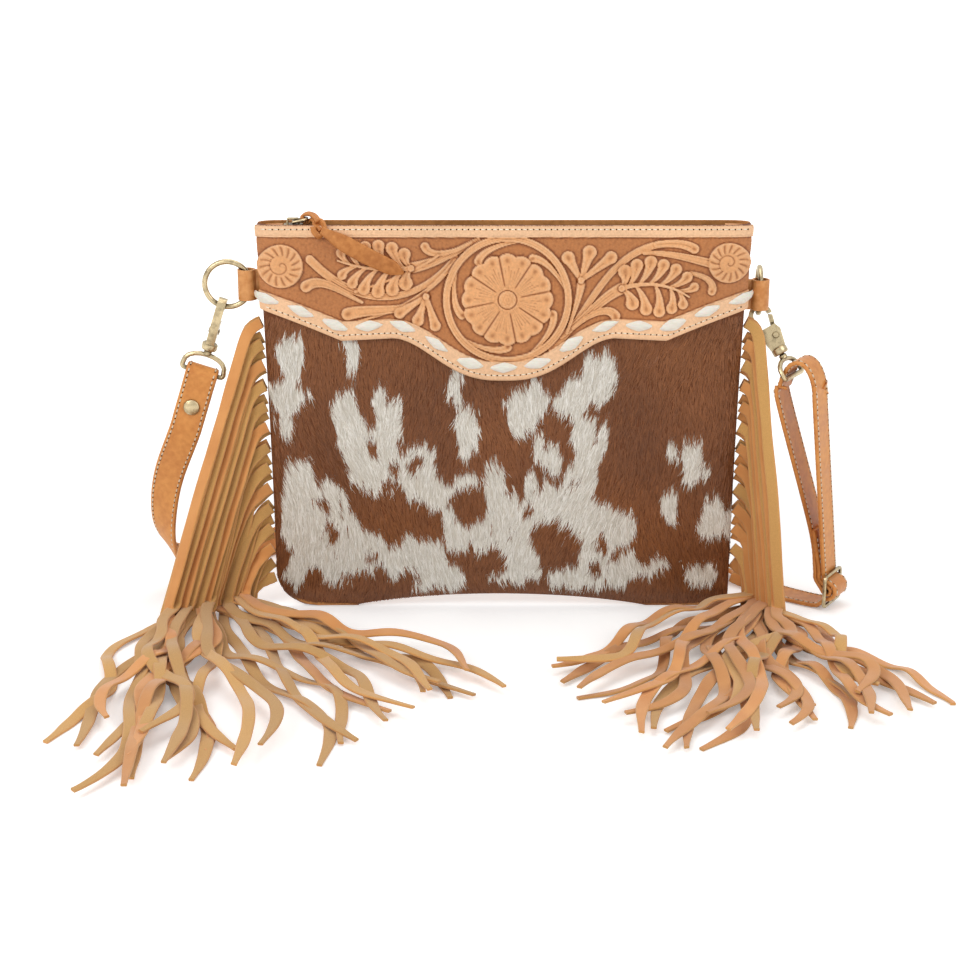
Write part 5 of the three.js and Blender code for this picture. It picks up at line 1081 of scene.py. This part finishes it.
loop_rows = [(-20, 1.6), (-9, 1.6), (-5, 2.6), (-3.2, m - 7.7), (0, m - 5.65),
             *turned_round(0.05, m, 5.4, 5.45, (-58, -29, 0, 29, 58)),
             (0, m + 5.65), (-3.1, m + 8.1), (-2.9, m + 9.5), (-2.9, m + 13),
             *turned_round(crown_out, crown_z, crown_wide, crown_tall, range(0, 181, 15)),
             (high_out - ply, 52), (tail_out - ply, m + 13), (tail_out - ply, m + 9.5),
             (tail_out - 1.9, m + 6), (-4.6, m + 2.3),
             *turned_round(0, m, ply, ply, (190, 230, 270, 310, 350, 30, 62)),
             (0, m + 2.7), (-1.8, m + 3.5), (-4.9, m + 6.1), (tail_out, m + 9), (tail_out, m + 13),
             (high_out, 50)]


def loop_point(out, z):
    shift = top_shift * smooth(z, 52.7, RIGHT_BAR[2] - 14)
    return BUCKLE_CENTRE + LOOP_NORMAL * out + LOOP_WIDTH_WAY * shift + np.array([0, 0, z])


right_path = [loop_point(out, z) for out, z in loop_rows]
right_across = [LOOP_WIDTH_WAY] * len(right_path)


def run_along(curve):
    """Distance along a curve at each of its points."""
    return np.concatenate([[0], np.cumsum(np.linalg.norm(np.diff(curve, axis=0), axis=1))])


def at_spots(spots, run, values):
    return np.stack([np.interp(spots, run, values[:, axis]) for axis in range(3)], axis=1)


def strap_part(name, path, widths):
    """A length of strap, its middle line and its width directions, every STRAP_STEP millimetres."""
    curve = smooth_path(path, len(path) * 24)
    way = smooth_path(widths, len(path) * 24)
    run = run_along(curve)
    spots = np.linspace(0, run[-1], int(run[-1] / STRAP_STEP))
    curve, way = at_spots(spots, run, curve), unit(at_spots(spots, run, way))
    rings = tube_points(curve, way, ribbon_section(STRAP_WIDTH, STRAP_THICKNESS, 9))
    rings[..., 2] = np.maximum(rings[..., 2], 0.1)
    part = grid_piece(name, rings, wrap=True)[0]
    shade(part, 50)
    return part, curve, way


# The two lengths meet on the floor, 11 points into the route
split = 11
left_part, left_curve, left_way = strap_part(
    "strap_left", [*left_path, *route[:split, :3]], [*left_across, *route[:split, 3:]])
right_part, right_curve, right_way = strap_part(
    "strap_right", [*route[split - 1:, :3], *right_path], [*route[split - 1:, 3:], *right_across])
finish_piece(left_part, strap_hide, None, replaces=("strap",))
finish_piece(right_part, strap_hide, None)

# White waxed thread along both edges of the strap, on both faces
strap_thread, add = new_material("waxed linen thread", Roughness=0.6, Sheen_Weight=0.2)
place = add("ShaderNodeTexCoord").outputs["Object"]
twist = add("ShaderNodeTexNoise", {"Vector": place, "Scale": 1000 / 1.2})
tint = add("ShaderNodeMix", {"Factor": twist.outputs["Fac"], 6: linear("#c3b294"), 7: linear("#efe5cf")},
           data_type="RGBA")
add("shader", {"Base Color": tint.outputs[2]})


def strap_sewing(name, curve, way):
    tangent = unit(np.gradient(curve, axis=0))
    through = np.cross(tangent, way)
    run = run_along(curve)
    spots = np.arange(4, run[-1] - 4, STITCH_LENGTH)
    made = []
    for face in (-1, 1):
        for edge in (-1, 1):
            points = curve + way * (edge * (STRAP_WIDTH / 2 - 1.9)) + through * (face * 1.28)
            ways = unit(at_spots(spots, run, tangent))
            outs = unit(at_spots(spots, run, through * face))
            outs -= ways * np.sum(outs * ways, axis=1, keepdims=True)
            made += sewing(f"{name}_{face}_{edge}".replace("-1", "0"), at_spots(spots, run, points), ways,
                           unit(outs), 2.8, 0.48, strap_thread, None)
    return made


left_sewn = strap_sewing("strap_left_sewing", left_curve, left_way)
right_sewn = strap_sewing("strap_right_sewing", right_curve, right_way)
rounded_copy("strap_rivet", "strap_rivet_brass", 0.25, antique_brass, "bag", 60)
rounded_copy("strap_buckle", "strap_buckle_brass", 0.3, antique_brass, "bag", 60)
for piece in (left_part, *left_sewn):
    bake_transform(piece)
for piece in (right_part, *right_sewn):
    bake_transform(piece)


# Fringe
# Strands of suede leather in two layers, cut in one strip on each side and caught in the side seam. They
# leave the seam flat and one under another, bend down, and lie in waves and crossings on the floor.
# The grain side is caramel, the suede side a paler khaki, and the cut edges are fuzzy.

FRINGE_TOP = 184.0
FRINGE_BOTTOM = 14.0
FRONT_STRANDS = 18
ALL_STRANDS = 30
FRINGE_PITCH = (FRINGE_TOP - FRINGE_BOTTOM) / FRONT_STRANDS
STRAND_WIDTH = FRINGE_PITCH - 2.4
STRAND_THICKNESS = 1.5
LEFT_TIPS = ((-243, -196), (-200, -226), (-156, -236), (-226, -262), (-98, -230), (-60, -176),
             (-33, -136), (-6, -140))
RIGHT_TIPS = ((243, -150), (214, -168), (184, -176), (142, -182), (106, -206), (82, -214),
              (46, -150), (22, -100))
FLOOR_REACH = 262.0
SIDE_REACH = 244.0
# Above this height the strands hang alike, clear of the swinging hooks
CALM_ABOVE = 115
HANG_ROWS = 34
FLOOR_ROWS = 76


def scatter(k, seed):
    """A repeatable number between 0 and 1 for each strand and seed."""
    value = math.sin(k * 12.9898 + seed * 78.233) * 43758.5453
    return value - math.floor(value)


def strand_tip(tips, k):
    share = min(k / (FRONT_STRANDS - 1), 1) * (len(tips) - 1)
    i = min(int(share), len(tips) - 2)
    x, y = np.array(tips[i]) + (np.array(tips[i + 1]) - tips[i]) * (share - i)
    return np.array([x, y + (12 * (scatter(k, 4) - 0.5) if k else 0)])


def hang_point(side, root, height, spread, k):
    """Where a strand hangs at a height below its root: thrown out from the seam, then sloping down."""
    free = 0.0 if root[1] > CALM_ABOVE else 1.0
    throw = 7 + 7 * scatter(k, 21) * free
    sag = 3 + (1 + 6 * scatter(k, 22)) * free
    own = spread * (1 + (0.5 * scatter(k, 23) - 0.28) * free)
    out = 1.5 + throw * (1 - np.exp(-height / sag)) + own * height
    sway = 2.4 * (scatter(k, 24) - 0.4) * np.sin(height / (15 + 18 * scatter(k, 25)) + 5 * scatter(k, 26))
    out = out + sway * (1 - np.exp(-height / 25)) * np.where(free > 0, 1, smooth(height, 60, 100))
    forward = -(0.18 + (0.09 * scatter(k, 27) - 0.05) * free) * height
    forward = forward - (2.4 if k >= FRONT_STRANDS else 0)
    return np.stack([root[0] + side * out, forward, root[1] - height], axis=-1)


def fringe_strand(side, k, tips, spread):
    """Path, width directions and section scales of one strand, from its seam to its tip on the floor."""
    front = k < FRONT_STRANDS
    root_z = FRINGE_TOP - FRINGE_PITCH * (k + 0.5 if front else 1.35 * (k - 17.6))
    root = (float(side_x(side, root_z)), root_z)
    layer = 0.95 + 2.1 * (k % 5) + (0 if front else 1.1)
    hang_length = root[1] - layer
    land = hang_point(side, root, np.array(hang_length), spread, k)
    tip = strand_tip(tips, k) if front else strand_tip(tips, (k - 17.4) * 1.35) * 0.9
    run = tip - land[:2]
    direct = max(float(np.hypot(*run)), 1.0)
    spare = 385 - root[1] * 1.12 - 10
    reach = min(1, spare / direct)
    slack = math.sqrt(max(0, (spare / direct) ** 2 - 1) * 2)
    sway = min(direct / (2 * math.pi) * slack, 10) * (-1 if k % 5 % 2 else 1)
    sideways = np.array([run[1], -run[0]]) / direct
    hang = np.linspace(0, 1, HANG_ROWS) ** 1.5 * max(hang_length - 5, 2)
    hanging = hang_point(side, root, hang, spread, k)
    loose = (0 if root[1] > CALM_ABOVE else 2.6) * (scatter(k, 7) - 0.5)
    hanging[:, 0] += side * (loose * np.sin(np.pi * np.minimum(hang / max(hang_length, 1), 1)) ** 2)
    share = np.linspace(0.012, 1, FLOOR_ROWS)
    wave = sway * np.sin(2 * np.pi * share)
    bends = 0.9 + 1.1 * scatter(k, 9)
    ripple = (7.0 * scatter(k, 8) + 1.0) * np.sin(2 * np.pi * bends * share + 6 * scatter(k, 10))
    astray = wave + ripple * smooth(share, 0.03, 0.3)
    floor = land[:2] + run * (reach * share)[:, None] + sideways * astray[:, None]
    floor[:, 1] = np.clip(floor[:, 1], -FLOOR_REACH + 2, -14 * smooth(share, 0, 0.2) - 1)
    floor[:, 0] = np.clip(floor[:, 0], -SIDE_REACH, SIDE_REACH)
    lift = (1.5 + 5 * scatter(k, 11)) * np.sin(np.pi * share) ** 2 * np.sin(2 * np.pi * 1.7 * share + k) ** 2
    z = layer + lift * (0.35 + 0.65 * smooth(share, 0.05, 0.4)) * np.where(share > 0.97, 0.3, 1)
    bend = np.linspace(0, 1, 10)[1:-1, None]
    corner = np.array([*hanging[-1][:2], z[0] + 1.0])
    knee = hanging[-1] * (1 - bend) ** 2 + 2 * (1 - bend) * bend * corner + bend ** 2 * [*floor[0], z[0]]
    path = np.concatenate([hanging, knee, np.column_stack([floor, z])])

    # The width turns from upright at the seam to level as it hangs, then lies across the run
    up = np.array([0.0, 0, 1])
    angle = math.radians(20 + 6 * (scatter(k, 3) - 0.5) + 3 * (scatter(k, 12) - 0.5))
    hung = np.array([side * math.cos(angle), -side * math.sin(angle), 0])
    lying = unit(np.stack([-np.gradient(path[:, 1]), np.gradient(path[:, 0]), np.zeros(len(path))], axis=1))
    lying *= -1 if lying[HANG_ROWS] @ hung < 0 else 1
    count = len(path)
    place = np.arange(count)
    turned = np.where(place < HANG_ROWS, smooth(hang[np.minimum(place, HANG_ROWS - 1)], 2.5, 9), 1)
    grounded = smooth(place, HANG_ROWS, HANG_ROWS + 12)
    widths = (up * (1 - turned)[:, None] + hung * (turned * (1 - grounded))[:, None]
              + lying * (turned * grounded)[:, None])
    twist = (0.75 * (scatter(k, 13) - 0.5) * np.sin(place / 16 + 3 * scatter(k, 14)) * grounded
             + 0.5 * (scatter(k, 15) - 0.5) * smooth(place, 10, 30) * (1 - grounded))
    tangent = unit(np.gradient(path, axis=0))
    spun = widths * np.cos(twist)[:, None] + np.cross(tangent, widths) * np.sin(twist)[:, None]
    narrow = 1 - 0.55 * smooth(place, count - 14, count - 1) ** 1.5
    uneven = 1 + 0.05 * np.sin(place / 3.1 + k) + 0.03 * np.sin(place / 1.3 + 2 * k)
    return path, spun, np.column_stack([narrow * uneven, np.ones(count)])


def suede_strands(name, side, tips, spread):
    """All strands of one side; vertex colour holds grain or suede side, tint, and which side is up."""
    strands = []
    section = ribbon_section(STRAND_WIDTH, STRAND_THICKNESS, 6)
    grain = (section[:, 1] > 0.1).astype(float)
    grain[np.abs(section[:, 0] / (STRAND_WIDTH / 2)) > 0.86] = 0.45
    for k in range(ALL_STRANDS):
        path, widths, scales = fringe_strand(side, k, tips, spread)
        rings = tube_points(path, widths, section, scales)
        rings[..., 2] = np.maximum(rings[..., 2], 0.12)
        strand, _, column = grid_piece(f"{name}_{k}", rings)
        flip = 0.5 - 0.5 * math.copysign(1, scatter(k, 17) - 0.42)
        paint(strand, "Strand", np.stack(np.broadcast_arrays(grain[column], scatter(k, 16), flip), axis=1))
        close_tube(strand)
        strands.append(strand)
    piece = join_pieces(name, strands)
    shade(piece, 60)
    return piece


# Split suede: a smooth caramel grain side, and a napped khaki side that scatters light at its edges
fringe_leather, add = new_material("split suede fringe leather", Specular_IOR_Level=0.25, Sheen_Weight=0.35,
                                   Sheen_Roughness=0.6)
place = add("ShaderNodeTexCoord").outputs["Object"]
marks = add("ShaderNodeVertexColor", layer_name="Strand")
parts = add("ShaderNodeSeparateColor", {"Color": marks.outputs["Color"]})
both = add("ShaderNodeMath", {0: parts.outputs["Red"], 1: parts.outputs["Blue"]}, operation="SUBTRACT")
facing = add("ShaderNodeMath", {0: both.outputs["Value"]}, operation="ABSOLUTE")
dye = add("ShaderNodeTexNoise", {"Vector": place, "Scale": 1000 / 20, "Detail": 4.0})
nap = add("ShaderNodeTexNoise", {"Vector": place, "Scale": 1000 / 0.5, "Detail": 5.0})
grain_color = add("ShaderNodeMix", {"Factor": dye.outputs["Fac"], 6: linear("#c27a38"), 7: linear("#e2a15c")},
                  data_type="RGBA")
suede_color = add("ShaderNodeMix", {"Factor": nap.outputs["Fac"], 6: linear("#b3823f"), 7: linear("#dcac68")},
                  data_type="RGBA")
side_color = add("ShaderNodeMix", {"Factor": facing.outputs["Value"], 6: suede_color.outputs[2],
                                   7: grain_color.outputs[2]}, data_type="RGBA")
each = add("ShaderNodeMapRange", {"Value": parts.outputs["Green"], "To Min": 0.8, "To Max": 1.1})
shown = add("ShaderNodeVectorMath", {0: side_color.outputs[2], 1: each.outputs["Result"]},
            operation="MULTIPLY")
relief = add("ShaderNodeBump", {"Height": nap.outputs["Fac"], "Strength": 0.35, "Distance": 0.0004})
rough = add("ShaderNodeMapRange", {"Value": facing.outputs["Value"], "To Min": 0.92, "To Max": 0.55})
add("shader", {"Base Color": shown.outputs["Vector"], "Roughness": rough.outputs["Result"],
               "Normal": relief.outputs["Normal"]})
for side, name, tips, spread in ((-1, "left", LEFT_TIPS, 0.31), (1, "right", RIGHT_TIPS, 0.1)):
    strands = suede_strands(f"fringe_{name}_suede", side, tips, spread)
    finish_piece(strands, fringe_leather, replaces=(f"fringe_{name}",))


# Studio
# A white table under soft light from both sides, seen from a little above, as in a catalogue.

bpy.ops.object.select_all(action="DESELECT")
bpy.ops.mesh.primitive_plane_add(size=12, location=(0, 0, 0))
table = bpy.context.object
table.name = "white_table"
table_material, add = new_material("white table", Roughness=0.9, Specular_IOR_Level=0.0)
add("shader", {"Base Color": linear("#fbfbfb")})
ray = add("ShaderNodeLightPath")
seen = add("ShaderNodeMath", {0: ray.outputs["Is Camera Ray"], 1: ray.outputs["Is Glossy Ray"]},
           operation="MAXIMUM")
far = add("ShaderNodeVectorMath", {0: add("ShaderNodeTexCoord").outputs["Object"]}, operation="LENGTH")
fade = add("ShaderNodeMapRange", {"Value": far.outputs["Value"], "From Min": 0.3, "From Max": 1.1,
                                  "To Min": 0.24, "To Max": 1.0})
bright = add("ShaderNodeMath", {0: seen.outputs["Value"], 1: fade.outputs["Result"]}, operation="MULTIPLY")
add("shader", {"Emission Color": (1.0, 1.0, 1.0, 1.0), "Emission Strength": bright.outputs["Value"]})
table.data.materials.append(table_material)

world = bpy.data.worlds.new("studio")
bpy.context.scene.world = world
world.use_nodes = True
tree = world.node_tree
background = tree.nodes["Background"]
path = tree.nodes.new("ShaderNodeLightPath")
shown = tree.nodes.new("ShaderNodeMath")
shown.operation = "MAXIMUM"
tree.links.new(path.outputs["Is Camera Ray"], shown.inputs[0])
tree.links.new(path.outputs["Is Glossy Ray"], shown.inputs[1])
level = tree.nodes.new("ShaderNodeMapRange")
level.inputs["To Min"].default_value = 0.55
level.inputs["To Max"].default_value = 1.0
tree.links.new(shown.outputs["Value"], level.inputs["Value"])
tree.links.new(level.outputs["Result"], background.inputs["Strength"])
background.inputs["Color"].default_value = (1, 1, 1, 1)

for name, place, turn, size, power in (
    ("left softbox", (-0.9, -0.9, 0.95), (50, 0, -45), 0.7, 7.5),
    ("right softbox", (1.0, -0.8, 0.8), (55, 0, 50), 0.7, 4.5),
    ("top softbox", (0.0, 0.25, 1.3), (-10, 0, 0), 0.9, 4.5),
):
    lamp = bpy.data.lights.new(name, "AREA")
    lamp.energy = power
    lamp.size = size
    holder = bpy.data.objects.new(name, lamp)
    holder.location = place
    holder.rotation_euler = [math.radians(a) for a in turn]
    bpy.context.scene.collection.objects.link(holder)

CAMERA_HEIGHT_DEGREES = 18
CAMERA_DISTANCE = 1.2
camera_data = bpy.data.cameras.new("camera")
camera_data.lens = 74.5
camera_data.sensor_width = 36
camera = bpy.data.objects.new("camera", camera_data)
bpy.context.scene.collection.objects.link(camera)
rise = math.radians(CAMERA_HEIGHT_DEGREES)
camera.location = (-0.0139, -CAMERA_DISTANCE * math.cos(rise), 0.081 + CAMERA_DISTANCE * math.sin(rise))
camera.rotation_euler = (math.pi / 2 - rise, 0, 0)
bpy.context.scene.camera = camera
bpy.context.scene.view_settings.view_transform = "Standard"
